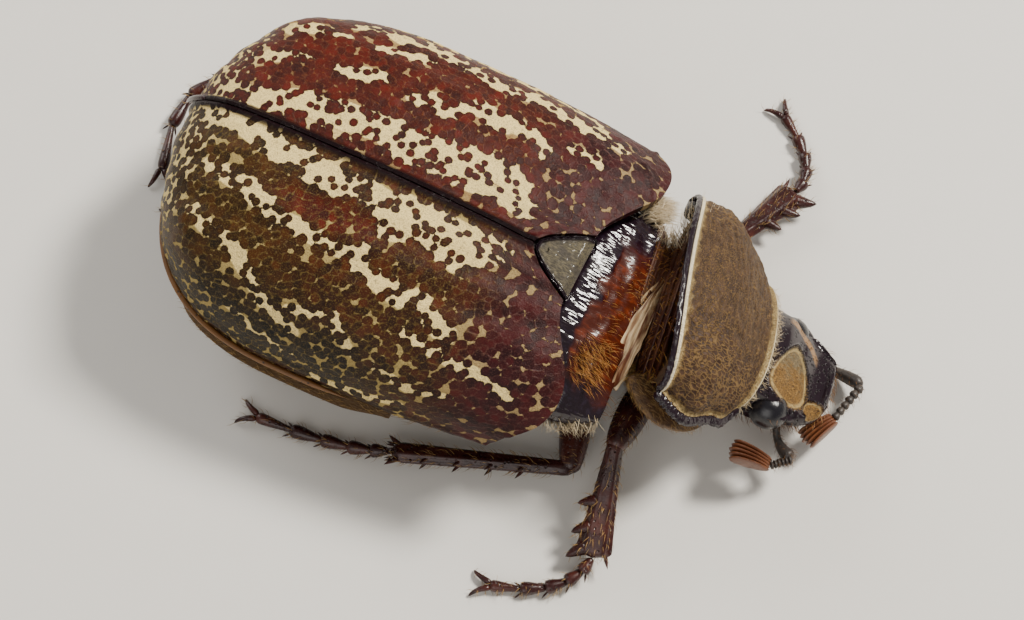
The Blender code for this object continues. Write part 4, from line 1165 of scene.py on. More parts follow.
def make_metathorax(material):
    """The breast under the front half of the elytra."""

    def place(share, angle):
        x = between(METATHORAX_FRONT_X + 0.2, ABDOMEN_FRONT_X + 0.1, share)
        if share in (0, 1):
            return Vector((x, 0, TAIL_Z))
        return trunk_point(x, angle, -between(0.4, 1.5, ease((x + 0.8) / 3.6)))

    bm = ball(place, 50, 100)
    rest_on_floor(bm)
    whole = merged([bm, coxa("hind_right"), coxa("hind_left")])
    return to_piece("skin_metathorax", whole, material, ["metathorax"])


def make_mesothorax(material):
    """The ring ahead of the elytra, bare and glossy behind and membranous in front."""
    back_x = METATHORAX_FRONT_X + 0.3
    back_top = back_height(back_x) - UNDER_SHELL
    slope, yaw = radians(MESOTHORAX_SLOPE), radians(MESOTHORAX_YAW)
    front_way = Vector((cos(slope) * cos(yaw), cos(slope) * sin(yaw), -sin(slope)))

    def place(share, angle):
        x = between(back_x + MESOTHORAX_LENGTH + 2.0, back_x - 0.4, share)
        if share in (0, 1):
            return Vector((x, 0, MESOTHORAX_MIDDLE_Z))
        ahead = max(0, (x - back_x) / MESOTHORAX_LENGTH)
        wide = MESOTHORAX_HALF_WIDTH * (1 - 0.17 * ahead**2)
        top = back_top - MESOTHORAX_FALL * ahead**1.5
        turn = abs(angle)
        across = wide * power(sin(turn), 0.9)
        if turn > pi / 2:
            across *= between(1, 0.3, (turn - pi / 2) / (pi / 2))
        lift = power(cos(turn), 0.9)
        reach = top - MESOTHORAX_MIDDLE_Z if lift > 0 else MESOTHORAX_MIDDLE_Z - 0.5 - ahead
        folds = 0.1 * noise.noise(Vector((x * 1.8, across * 0.8, 3.0))) * ease((x - 3.6) / 1.2)
        folds += 0.07 * noise.noise(Vector((x * 1.3, across * 3.6, 7.0)))
        height = MESOTHORAX_MIDDLE_Z + lift * (reach + folds)
        return Vector((x, across if angle >= 0 else -across, height))

    bm = ball(place, 100, 220)
    cut_flat(bm, MESOTHORAX_FRONT, front_way)
    rest_on_floor(bm)
    whole = merged([bm, coxa("middle_right"), coxa("middle_left")])
    piece = to_piece("skin_mesothorax", whole, material, ["mesothorax"])
    places = points_of(piece.data)
    x, y, z = places.T
    ragged = np.array([noise.noise(Vector((px * 1.4, py * 1.4, 0))) for px, py in places[:, :2]])
    rust = fade(x + 0.5 * ragged, 4.0, 4.25) * fade(y + 0.6 * ragged, -4.6, -3.9) * (1 - fade(y, 1.6, 3.4))
    rust *= fade(z, 2.0, 3.5)
    note(piece.data, "rust", rust)
    return piece


def make_neck(material):
    """The folded membrane between the mesothorax and the prothorax."""
    end = prothorax_frame() @ Vector((PROTHORAX_RECESS + 0.6, 0, -0.5))

    def radii(share):
        spread = ease((share - 0.4) / 0.4)
        return 3.0 + 1.9 * spread, 1.4 + 0.75 * spread

    def pleats(share, angle):
        uneven = noise.noise(Vector((cos(angle) * 3, sin(angle) * 3, share)))
        return 0.05 * cos(share * 9 * 2 * pi) + 0.04 * uneven

    bm = limb(line(Vector(NECK_START), end), radii, ACROSS, 60, 60, pleats)
    return to_piece("skin_neck", bm, material, ["neck"])


def make_collar(material):
    """The pale fold of skin that stands behind the pronotum."""
    centre_line = bend(*(Vector(place) for place in COLLAR_POINTS))
    wide_way, thick_way = Vector(COLLAR_WIDE_WAY), Vector(COLLAR_THICK_WAY)

    def half(share):
        return (0.28 + 0.5 * ease(share * 1.5)) * max(0, sin(share * pi)) ** 0.25

    def place(share, angle):
        centre = centre_line(share)
        if share in (0, 1):
            return centre
        across = cos(angle)
        wave = noise.noise(Vector((share * 5.0, across * 3.4, 2.0)))
        fold = 0.16 * cos(across * 8 + share * 4) + 0.18 * wave
        ragged = 1 + 0.16 * noise.noise(Vector((share * 11, 5.0 * (across > 0), 8.0)))
        thick = 0.1 * sin(angle) + fold
        return centre + wide_way * (across * half(share) * ragged) + thick_way * thick

    piece = to_piece("neck_collar", ball(place, 110, 60), material)
    # Each point's place across and along the collar is stored for the finish's creases, which carry
    # painted shade.
    stations = [centre_line(step / COLLAR_STATIONS) for step in range(COLLAR_STATIONS + 1)]
    folds = []
    for x, y, z in points_of(piece.data):
        station = min(range(COLLAR_STATIONS + 1), key=lambda step: abs(stations[step].y - y))
        offset = Vector((x, y, z)) - stations[station]
        across = offset.dot(wide_way) / wide_way.length_squared / max(0.2, half(station / COLLAR_STATIONS))
        folds.append((across * 2.2, station * 0.016, 0))
    note(piece.data, "fold", folds)
    return piece


# Prothorax


def prothorax_frame():
    turn = Matrix.Rotation(radians(PROTHORAX_YAW), 4, "Z")
    turn @= Matrix.Rotation(radians(PROTHORAX_PITCH), 4, "Y")
    turn @= Matrix.Rotation(radians(PROTHORAX_ROLL), 4, "X")
    return Matrix.Translation(PROTHORAX_PLACE) @ turn


def head_frame():
    turn = Matrix.Rotation(radians(HEAD_YAW), 4, "Z") @ Matrix.Rotation(radians(HEAD_PITCH), 4, "Y")
    return prothorax_frame() @ Matrix.Translation(HEAD_PLACE) @ turn


def pronotum_half(share):
    """Half the width of the pronotum from its hind edge, 0, to its front edge, 1."""
    shoulder = between(PRONOTUM_WIDEST_HALF, PRONOTUM_FRONT_HALF, 0.45)
    stations = [(0, PRONOTUM_HIND_HALF), (0.32, PRONOTUM_WIDEST_HALF)]
    return along(stations + [(0.75, shoulder), (1, PRONOTUM_FRONT_HALF)], share)


def pronotum_hind(across):
    return -PRONOTUM_BULGE * (1 - min(1, across * across)) ** 0.8


def pronotum_height(station):
    return PRONOTUM_HEIGHT * along([(0, 0.86), (0.4, 1.0), (1, 0.66)], station)


def across_and_lift(turn, way):
    """Place across, -1 to 1, and height, 0 to 1, of a section that is round above and flat below."""
    if turn > pi / 2:
        return way * (pi - turn) / (pi / 2), 0.0
    return way * power(sin(turn), 0.95), cos(turn) ** 0.85


def make_pronotum(material, wrinkle):
    """The shield over the prothorax, wrinkled across, with a raised margin."""
    steps, sides = 130, 230
    hidden = []

    def place(share, angle):
        ring = round(share * steps)
        hidden.append(ring < 3)
        turn = abs(angle) / pi
        if turn < PRONOTUM_TOP_SHARE:
            turn = turn / PRONOTUM_TOP_SHARE / 2
        else:
            turn = 0.5 + (turn - PRONOTUM_TOP_SHARE) / (1 - PRONOTUM_TOP_SHARE) / 2
        across, lift = across_and_lift(turn * pi, 1 if angle >= 0 else -1)
        station = max(0, min(1, (ring - 3) / (steps - 4)))
        height = pronotum_height(station)
        half = pronotum_half(station)
        base = PRONOTUM_BASE_Z
        if ring == 0:
            return Vector((PROTHORAX_RECESS, 0, base + height * 0.4))
        if ring == steps:
            return Vector((PRONOTUM_LENGTH, 0, base + height * 0.4))
        if ring == 1:
            inner = max(lift * (height - PROTHORAX_RIM), PROTHORAX_RIM)
            return Vector((PROTHORAX_RECESS, across * (half - PROTHORAX_RIM - 0.2), base + inner))
        hind = pronotum_hind(across)
        under = ease((turn - 0.5) / 0.06)
        x = between(between(hind, max(hind, PROTHORAX_RECESS), under), PRONOTUM_LENGTH, station)
        if ring == 2:
            return Vector((x + 0.05, across * (half - 0.2), base + lift * (height - 0.22)))
        point = Vector((x, across * half, base + lift * height))
        if turn >= 0.5:
            return point
        inside = edge_distance(x, across, half, lift * height)
        amount = ease((inside - 0.2) / 0.4)
        wave = wrinkles(point)
        bead = 0.1 * hump(inside, 0.12, 0.09) - 0.05 * hump(inside, 0.34, 0.12)
        outward = Vector((0, across, max(0.15, lift))).normalized()
        return point + outward * (bead + amount * wrinkle * wave)

    piece = to_piece(
        "skin_pronotum", ball(place, steps, sides), material, ["pronotum"], prothorax_frame()
    )
    places = seen_from(prothorax_frame(), points_of(piece.data))
    ridge, edge = [], []
    for (x, y, z), inner in zip(places, hidden):
        station = min(1, max(0, (x + 0.7) / (PRONOTUM_LENGTH + 0.7)))
        across = max(-1, min(1, y / pronotum_half(station)))
        hind = pronotum_hind(across)
        station = min(1, max(0, (x - hind) / (PRONOTUM_LENGTH - hind)))
        half = pronotum_half(station)
        across = max(-1, min(1, y / half))
        skin = PRONOTUM_BASE_Z + (1 - across * across) ** 0.425 * pronotum_height(station)
        sunken = inner or z < skin - 0.14 - 0.5 * across**8
        edge.append(-1 if sunken else edge_distance(x, across, half, z - PRONOTUM_BASE_Z))
        ridge.append(wrinkles(Vector((x, y, z))))
    note(piece.data, "ridge", ridge)
    note(piece.data, "edge", edge)
    note(piece.data, "local", places)
    note(piece.data, "flank", fade(-places[:, 1], 1.6, 3.6) + fade(places[:, 1], 2.6, 4.4))
    return piece


def wrinkles(point):
    """The height, from about -1 to 1, of the wrinkles that run across the pronotum."""
    warp = noise.noise(point * 0.8) * 0.7
    near = noise.noise(Vector((point.x * 4.6 + warp, point.y * 2.0, point.z * 2.6)))
    return near + 0.5 * noise.noise(Vector((point.x * 8.5, point.y * 4.6, point.z * 5.0)))


def edge_distance(x, across, half, rise):
    """How far a point of the pronotum, at a rise above its base, lies inside its margin."""
    hind = x - pronotum_hind(across)
    front = PRONOTUM_LENGTH - x
    return max(0, min(hind, front, hypot((1 - abs(across)) * half, rise)))


def make_pronotum_rim(material):
    """The dark rim behind and beside the pale margin, with a knob at its left hind corner."""
    shapes = []

    def hind_line(share):
        turn = between(-0.5, 0.5, min(max(share, 0), 1)) * pi
        across, lift = across_and_lift(abs(turn), 1 if turn >= 0 else -1)
        height = PRONOTUM_BASE_Z + lift * (pronotum_height(0) - 0.17)
        return Vector((pronotum_hind(across) - 0.05, across * (PRONOTUM_HIND_HALF - 0.02), height))

    def hind_radii(share):
        return 0.17, 0.13

    def grains(share, angle):
        return 0.3 * noise.noise(Vector((share * 50, cos(angle) * 2.2, sin(angle) * 2.2)))

    def knob(share):
        return 0.5, 0.62

    shapes.append(limb(hind_line, hind_radii, AHEAD, 240, 14, grains))
    for side in (-1, 1):

        def side_line(share, side=side):
            station = min(max(share, 0), 1)
            x = between(-0.05, PRONOTUM_LENGTH, station)
            return Vector((x, side * (pronotum_half(station) + 0.1), PRONOTUM_BASE_Z - 0.08))

        def side_radii(share):
            return 0.36 * (0.7 + 0.3 * sin(share * pi)), 0.24

        shapes.append(limb(side_line, side_radii, ACROSS, 120, 20, grains))
    shapes.append(limb(line(*(Vector(place) for place in RIM_KNOB_ENDS)), knob, UP, 24, 20))
    return to_piece("pronotum_rim", merged(shapes), material, (), prothorax_frame())


def make_prothorax_fold(material):
    """The swollen skin of the flank, below the right hind corner of the pronotum."""
    to_world = prothorax_frame()
    start, corner, end = (to_world @ Vector(place) for place in FOLD_POINTS)

    def radii(share):
        taper = rounded((share - 0.45) / 0.58, 1.7)
        return 0.42 * taper, 0.85 * taper

    def creases(share, angle):
        return 0.12 * noise.noise(Vector((share * 4, cos(angle) * 2.5, sin(angle) * 2.5)))

    lifted = to_world.to_3x3() @ UP
    bm = limb(bend(start, corner, end), radii, lifted, 60, 44, creases)
    return to_piece("prothorax_fold", bm, material)


def make_prosternum(material):
    """The flanks and underside of the prothorax, with the knobs of the front legs."""
    steps = 60

    def place(share, angle):
        ring = round(share * steps)
        across, lift = across_and_lift(abs(angle), 1 if angle >= 0 else -1)
        station = max(0, min(1, (ring - 1) / (steps - 2)))
        half = pronotum_half(station) - 0.4
        depth = PROSTERNUM_DEPTH * along([(0, 0.8), (0.5, 1), (1, 0.7)], station)
        x = between(PROTHORAX_RECESS - 0.1, PRONOTUM_LENGTH, station)
        if ring in (0, steps):
            return Vector((x, 0, -depth / 2))
        uneven = 0.12 * noise.noise(Vector((x, across * 4, 2)))
        return Vector((x, across * half, 0.1 - lift**PROSTERNUM_POWER * (depth + 0.25 + uneven)))

    body = ball(place, steps, 90)
    bmesh.ops.transform(body, matrix=prothorax_frame(), verts=body.verts)
    whole = merged([body, coxa("front_right"), coxa("front_left")])
    return to_piece("skin_prosternum", whole, material, ["prosternum"])


# Head


def head_top(share, side_share):
    """Height of the head's upper side, with its raised clypeus edge and a groove across."""
    hollow = 0.14 * hump(share, 0.8, 0.08) * (1 - side_share**4)
    return along(HEAD_TOP, share) - hollow


def make_head(material):
    """The head with its clypeus, a plate with a raised front edge."""

    def place(share, angle):
        if share in (0, 1):
            return Vector((HEAD_LENGTH * share, 0, 0))
        half = along(HEAD_SIDES, share) * rounded((share - 0.7) / 0.32, 2.3)
        lift = power(cos(angle), 0.75)
        side_share = abs(sin(angle)) ** 0.8
        height = lift * (head_top(share, side_share) if lift > 0 else along(HEAD_BOTTOM, share))
        rim = 0.2 * hump(side_share, 0.94, 0.06) * ease((share - 0.6) / 0.12) if lift > 0 else 0
        x, y = HEAD_LENGTH * share, half * power(sin(angle), 0.8)
        if lift > 0.3:
            patch = float(head_patches(x, y))
            rim += 0.13 * hump(patch, 0.42, 0.07) - 0.07 * ease((patch - 0.48) / 0.1)
        return Vector((x, y, height + rim))

    bm = ball(place, 140, 160)
    cut_flat(bm, AHEAD * HEAD_BACK_X, -AHEAD)
    for side in SIDES.values():
        cut_flat(bm, ACROSS * side * (CHEEK_Y + 0.1), ACROSS * side)
    whole = merged([bm, make_canthus(-1), make_canthus(1)])
    piece = to_piece("skin_head", whole, material, ["head"], head_frame())
    x, y, z = seen_from(head_frame(), points_of(piece.data)).T
    note(piece.data, "gold", head_patches(x, y) * fade(z, 0.1, 0.3))
    note(piece.data, "strip", head_strip(x, y, z))
    return piece


def make_canthus(side):
    """The ledge that runs from the cheek back across the front of an eye."""
    start, corner, end = (Vector((x, side * y, z)) for x, y, z in CANTHUS_POINTS)

    def radii(share):
        return 0.34 * (1 - 0.6 * share), 0.1

    return limb(bend(start, corner, end), radii, Vector((0.4, side, -0.2)), 40, 20)


def oval(x, y, centre, half_long, half_wide, taper=0.0):
    """Above 0.5 inside an oval that narrows to its left end, falling through it outside."""
    ahead, beside = (x - centre[0]) / half_long, (y - centre[1]) / half_wide
    ahead = ahead / (1 - taper * beside)
    return np.clip(1.5 - (np.abs(ahead) ** 2.4 + np.abs(beside) ** 2.4) ** (1 / 2.4), 0, 1)


def head_patches(x, y):
    """The golden scaled patches: a tear across the brow and an oval on the clypeus."""
    return np.maximum(oval(x, y, (2.4, -0.75), 0.95, 1.65, 0.55), oval(x, y, (4.0, -1.85), 0.45, 0.55))


def head_strip(x, y, z):
    """1 on the tan strip along the left edge of the brow."""
    curve = 2.36 - 0.5 * np.clip(x - 1.8, 0, 2) ** 1.55
    along_brow = fade(x, 1.5, 1.9) * (1 - fade(x, 3.4, 3.7))
    return (1 - fade(np.abs(y - curve), 0.2, 0.3)) * along_brow * fade(z, 0.2, 0.4)


def make_eye(side_name, material):
    """An eye: a dome on the cheek."""
    centre = Vector((EYE_X, SIDES[side_name] * (CHEEK_Y - EYE_SUNK), EYE_Z))

    def place(share, angle):
        ring = EYE_RADIUS * sin(share * pi)
        lift = EYE_RADIUS * 0.92 * cos(share * pi)
        return centre + Vector((ring * cos(angle), lift, ring * sin(angle)))

    bm = ball(place, 36, 48)
    return to_piece(f"skin_eye_{side_name}", bm, material, [f"eye_{side_name}"], head_frame())


def make_mouth(material):
    """The jaws and the lower lip in one piece under the head."""

    def place(share, angle):
        ring = sin(share * pi) ** 0.6
        x = MOUTH_X - 1.3 * power(cos(share * pi), 0.8)
        return Vector((x, ring * sin(angle), MOUTH_Z - 0.1 + 0.6 * ring * cos(angle)))

    def jaw_radii(share):
        return 0.34 * (1.1 - share), 0.3

    shapes = [ball(place, 36, 40)]
    for side in (-1, 1):
        start, middle, end = (Vector((x, side * y, z)) for x, y, z in JAW_POINTS)
        shapes.append(limb(bend(start, middle, end), jaw_radii, UP, 24, 16))
    for shape in shapes:
        bmesh.ops.transform(shape, matrix=head_frame(), verts=shape.verts)
    return to_piece("skin_mouthparts", merged(shapes), material, ["mouthparts"])


def make_palp(side_name, material):
    """A jointed finger beside the mouth."""
    start, end = (head_frame() @ Vector((x, SIDES[side_name] * y, z)) for x, y, z in PALP_ENDS)
    joints = []
    for joint in range(3):
        low, high = (start.lerp(end, (joint + step) / 3) for step in (0, 1.12))

        def radii(share, joint=joint):
            return tuple([0.14 + 0.1 * sin(min(1, share * 1.1) * pi) ** 0.7 + 0.02 * joint] * 2)

        joints.append(limb(line(low, high), radii, UP, 18, 14))
    bm = merged(joints)
    rest_on_floor(bm)
    return to_piece(f"skin_palp_{side_name}", bm, material, [f"palp_{side_name}"])


def make_feeler(side_name, material, club_material):
    """A feeler: its long first joint, a chain of short ones, and its club of leaves."""
    points = {key: head_frame() @ Vector(value) for key, value in FEELERS[side_name].items()}

    def scape_radii(share):
        size = 0.2 + 0.17 * ease((share - 0.35) / 0.6)
        return size, size * 0.9

    shapes = [limb(bend(points["root"], points["turn"], points["elbow"]), scape_radii, UP, 40, 18)]
    chain = points["tip"] - points["elbow"]
    for joint in range(FUNICLE_JOINTS):
        start = points["elbow"] + chain * (joint / FUNICLE_JOINTS)
        end = points["elbow"] + chain * ((joint + 1.25) / FUNICLE_JOINTS)

        def radii(share, joint=joint):
            size = between(0.24, 0.2, joint / FUNICLE_JOINTS) * (0.65 + 0.35 * ease(share * 1.4))
            return size, size

        shapes.append(limb(line(start, end), radii, UP, 12, 14))
    stem = merged(shapes)
    rest_on_floor(stem)
    to_piece(
        f"skin_antenna_{side_name}_stem", stem, material, [f"antenna_{side_name}_stem"]
    )
    leaf_way = points["club"] - points["tip"]
    fan = leaf_way.cross(UP).normalized()
    leaves = []
    for leaf in range(CLUB_LEAVES):
        apart = leaf / (CLUB_LEAVES - 1) - 0.5
        start = points["tip"] + fan * (apart * 0.5)
        end = points["club"] + fan * (apart * 0.9) - leaf_way * (0.12 * abs(apart))

        def radii(share):
            return 0.52 * sin(min(1, share * 1.5 + 0.15) * pi / 2) * rounded((share - 0.6) / 0.42, 2), 0.1

        leaves.append(limb(line(start, end), radii, UP, 26, 16))
    club = merged(leaves)
    rest_on_floor(club)
    to_piece(
        f"skin_antenna_{side_name}_club", club, club_material, [f"antenna_{side_name}_club"]
    )


# Legs


def leg_root(name):
    if "root" in LEGS[name]:
        return Vector(LEGS[name]["root"])
    x, y, z = FRONT_COXA_PLACE
    return prothorax_frame() @ Vector((x, SIDES[name.split("_")[1]] * y, z))


def make_leg(name, material):
    """A whole leg: femur, tibia with its teeth or spines, jointed tarsus and claws."""
    leg = LEGS[name]
    pair = name.split("_")[0]
    root = leg_root(name)
    knee, ankle, corner, claws = (Vector(leg[key]) for key in ("knee", "ankle", "turn", "claws"))
    edge = Vector(leg["edge"])
    thin, thick = FEMUR_RADIUS[pair]
    way = (ankle - knee).normalized()

    def femur_radii(share):
        size = between(thin, thick, sin(min(1, share * 1.1) * pi) ** 0.7)
        return size * 0.94, size

    reach = (knee - root).normalized() * 0.25
    shapes = [limb(line(root, knee + reach), femur_radii, UP, 40, 28)]
    near, far = TIBIA_HALF_WIDTH[pair]

    def tibia_radii(share):
        waist = between(near, far, max(0, share - 0.1) ** 1.3)
        return waist, TIBIA_THICKNESS * between(1, 1.1, share)

    def keels(share, angle):
        return 0.09 * cos(angle * 6) * ease(share * 4) + 0.03 * noise.noise(Vector((share * 14, angle, 1)))

    shapes.append(limb(line(knee - way * 0.3, ankle), tibia_radii, edge, 50, 30, keels))
    shapes += tibia_arms(pair, knee, ankle, edge, near, far)
    centre_line = bend(ankle, corner, claws)
    for joint in range(TARSUS_JOINTS):
        start = centre_line(max(0, (joint - 0.12) / TARSUS_JOINTS))
        end = centre_line((joint + 1) / TARSUS_JOINTS)
        longer = joint == TARSUS_JOINTS - 1

        def radii(share, longer=longer):
            flare = 0.5 + 0.5 * ease(share * (1.1 if longer else 1.3))
            size = TARSUS_RADIUS * flare * (0.85 if longer else 1)
            return size, size

        shapes.append(limb(line(start, end), radii, UP, 22, 18))
        if not longer:
            shapes += joint_spines(start, end)
    shapes += claw_pair(corner, claws)
    bm = merged(shapes)
    rest_on_floor(bm)
    nodes = [f"leg_{name}_{part}" for part in ("femur", "tibia", "tarsus")]
    return to_piece(f"skin_leg_{name}", bm, material, nodes)


def joint_spines(start, end):
    """The bristles at the end of a tarsus joint."""
    way = (end - start).normalized()
    across = way.cross(UP).normalized()
    found = []
    for side in (-1, 1):
        foot = end - way * 0.1 + across * (side * 0.18) - UP * 0.1
        found.append(spine(foot, foot + way * 0.35 + across * (side * 0.22) - UP * 0.08, 0.05))
    return found


def claw_pair(corner, claws):
    """Two hooked claws, each with a tooth under its root."""
    ahead = (claws - corner).normalized()
    across = ahead.cross(UP).normalized()
    found = []
    for side in (-1, 1):
        base = claws - ahead * 0.15 + across * (side * 0.1) + UP * 0.05
        end = claws + ahead * (CLAW_LENGTH * 0.75) + across * (side * CLAW_LENGTH * 0.6)
        end.z = 0.06
        middle = base.lerp(end, 0.5) + ahead * 0.25 - across * (side * 0.05) + UP * 0.22

        def radii(share):
            return tuple([CLAW_RADIUS * (1 - share) ** 0.55 + 0.02] * 2)

        found.append(limb(bend(base, middle, end), radii, UP, 22, 14))
        tooth = base.lerp(end, 0.3)
        found.append(spine(tooth, tooth + ahead * 0.2 - UP * 0.16, 0.08))
    return found


def tibia_arms(pair, knee, ankle, edge, near, far):
    """The teeth of a front tibia, or the spines and spurs of another one."""
    way = (ankle - knee).normalized()
    out = (edge - way * edge.dot(way)).normalized()
    side_way = way.cross(out)
    found = []
    if pair == "front":
        for number, share in enumerate(TOOTH_SHARES):
            root = knee + (ankle - knee) * share + out * (between(near, far, share) * 0.35)
            tip = root + (out * 0.95 + way * (0.3 + 0.22 * number)) * TOOTH_LENGTH

            def radii(part, number=number):
                return tuple([(0.34 + 0.03 * number) * (1 - part) ** 0.75 + 0.03] * 2)

            found.append(limb(bend(root, root.lerp(tip, 0.6) + way * -0.06, tip), radii, way, 22, 16))
        root = ankle - way * 0.5 - out * (far * 0.5)
        found.append(spine(root, root + way * 0.9 - out * 0.35, 0.13))
        return found
    for share in TIBIA_SPINE_SHARES:
        for lean in (-1, 1):
            root = knee + (ankle - knee) * share + out * (near * 0.5) + side_way * (lean * 0.12)
            found.append(spine(root, root + out * 0.55 + way * 0.42 + side_way * (lean * 0.1), 0.1))
    for side in (-1, 1):
        root = ankle - way * 0.6 + out * (side * far * 0.5)
        tip = root + (way * 0.7 + out * (side * 0.55) + side_way * 0.1) * SPUR_LENGTH
        found.append(spine(root, tip, 0.16, way * 0.08))
    for step in range(END_SPINES):
        turn = step / (END_SPINES - 1) * pi - pi / 2
        root = ankle - way * 0.2 + out * (far * 0.75 * sin(turn)) + side_way * (0.2 * cos(turn))
        found.append(spine(root, root + way * 0.42 + out * (0.12 * sin(turn)), 0.06))
    return found


# Hairs


class Coat:
    """Hairs gathered into one mesh, each a bent three-sided cone."""

    def __init__(self, seed):
        self.random = np.random.default_rng(seed)
        self.roots, self.ups, self.lies = [], [], []
        self.lengths, self.radii = [], []

    def sow(self, piece, count, where, lie, length, radius, stand):
        """Sows hairs over a piece, where the weight of a place is above 0, leaning along their lie."""
        spots = points_of(piece.data)[triangles_of(piece.data)]
        cross = np.cross(spots[:, 1] - spots[:, 0], spots[:, 2] - spots[:, 0])
        area = np.linalg.norm(cross, axis=1)
        ups = cross / np.maximum(area, 1e-9)[:, None]
        weight = area * np.clip(where(spots.mean(1), ups), 0, None)
        if weight.sum() <= 0:
            raise RuntimeError(f"no place for hairs on {piece.name}")
        chosen = self.random.choice(len(weight), count, p=weight / weight.sum())
        share = self.random.random((count, 2))
        share = np.where(share.sum(1, keepdims=True) > 1, 1 - share, share)
        corner = spots[chosen]
        roots = corner[:, 0] + share[:, :1] * (corner[:, 1] - corner[:, 0])
        roots = roots + share[:, 1:] * (corner[:, 2] - corner[:, 0])
        up = ups[chosen]
        way = np.array(lie, float) + self.random.normal(0, HAIR_STRAY, (count, 3))
        way -= up * (way * up).sum(1)[:, None]
        way /= np.maximum(np.linalg.norm(way, axis=1), 1e-6)[:, None]
        self.roots.append(roots)
        self.ups.append(up * stand + way * (1 - stand) * 0.6)
        self.lies.append(way)
        self.lengths.append(length * self.random.uniform(0.6, 1.25, count))
        self.radii.append(radius * self.random.uniform(0.7, 1.2, count))

    def grow(self, name, material):
        """Makes the mesh, with each hair's patch of the map at its root's place on the body."""
        roots, rise, lie = (np.concatenate(rows) for rows in (self.roots, self.ups, self.lies))
        length, radius = np.concatenate(self.lengths), np.concatenate(self.radii)
        count = len(roots)
        rise /= np.maximum(np.linalg.norm(rise, axis=1), 1e-6)[:, None]
        side = np.cross(rise, lie)
        side /= np.maximum(np.linalg.norm(side, axis=1), 1e-6)[:, None]
        other = np.cross(side, rise)
        verts = np.empty((count, 7, 3))
        for corner in range(3):
            turn = corner * 2 * pi / 3
            ring = side * cos(turn) + other * sin(turn)
            verts[:, corner] = roots - rise * HAIR_SINK + ring * radius[:, None]
            middle = roots + (rise * 0.55 + lie * 0.06) * length[:, None]
            verts[:, corner + 3] = middle + ring * (radius * 0.75)[:, None]
        verts[:, 6] = roots + (rise * 0.85 + lie * 0.5) * length[:, None]
        verts[:, :, 2] = np.maximum(verts[:, :, 2], 0.005)
        pattern = [(2, 1, 0)]
        for corner in range(3):
            after = (corner + 1) % 3
            pattern += [(corner, after, after + 3), (corner, after + 3, corner + 3)]
            pattern.append((corner + 3, after + 3, 6))
        faces = (np.arange(count)[:, None, None] * 7 + np.array(pattern)).reshape(-1, 3)
        mesh = bpy.data.meshes.new(name)
        mesh.from_pydata(verts.reshape(-1, 3).tolist(), [], faces.tolist())
        strand = np.repeat(self.random.random(count), 7)
        note(mesh, "strand", strand)
        layer = mesh.uv_layers.new(name="OFBake")
        low, high = (np.array(corner) / MM for corner in CAD_BOX)
        place = (roots - low) / (high - low)
        turn = np.arctan2(roots[:, 1], roots[:, 2] - 4) / (2 * pi) + 0.5
        spread = np.array([(0, 0), (1, 0), (0.5, 1)] * len(pattern)) * MAP_PATCH
        home = np.stack([place[:, 0], turn], 1) * (1 - 2 * MAP_PATCH) + MAP_PATCH / 2
        layer.data.foreach_set("uv", (home[:, None] + spread[None]).astype(np.float32).ravel())
        return place_mesh(name, mesh, material, (), 180)


def within(values, low, high, soft=0.3):
    return fade(values, low - soft, low + soft) * (1 - fade(values, high - soft, high + soft))


def everywhere(places, ups):
    return np.ones(len(places))


def facing_up(low, high):
    return lambda places, ups: fade(ups[:, 2], low, high)


def facing_down(low, high):
    return lambda places, ups: fade(-ups[:, 2], low, high)


def brow_patches(places, ups):
    """1 on the golden patches of the head."""
    x, y = seen_from(head_frame(), places)[:, :2].T
    return fade(head_patches(x, y), 0.5, 0.6) * fade(ups[:, 2], 0.1, 0.4)


def front_margin(places, ups):
    """1 along the front edge of the pronotum."""
    local = seen_from(prothorax_frame(), places)
    return fade(local[:, 0], PRONOTUM_LENGTH - 0.14, PRONOTUM_LENGTH - 0.05) * fade(local[:, 2], 0.2, 0.4)


def prothorax_flank(places, ups):
    """1 on the flank of the prothorax, clear of its belly and of the floor."""
    below = -seen_from(prothorax_frame(), places)[:, 2]
    return fade(below, 0.7, 1.1) * fade(places[:, 2], 0.3, 1.5)


def leg_way(name):
    return (Vector(LEGS[name]["ankle"]) - Vector(LEGS[name]["knee"])).normalized()


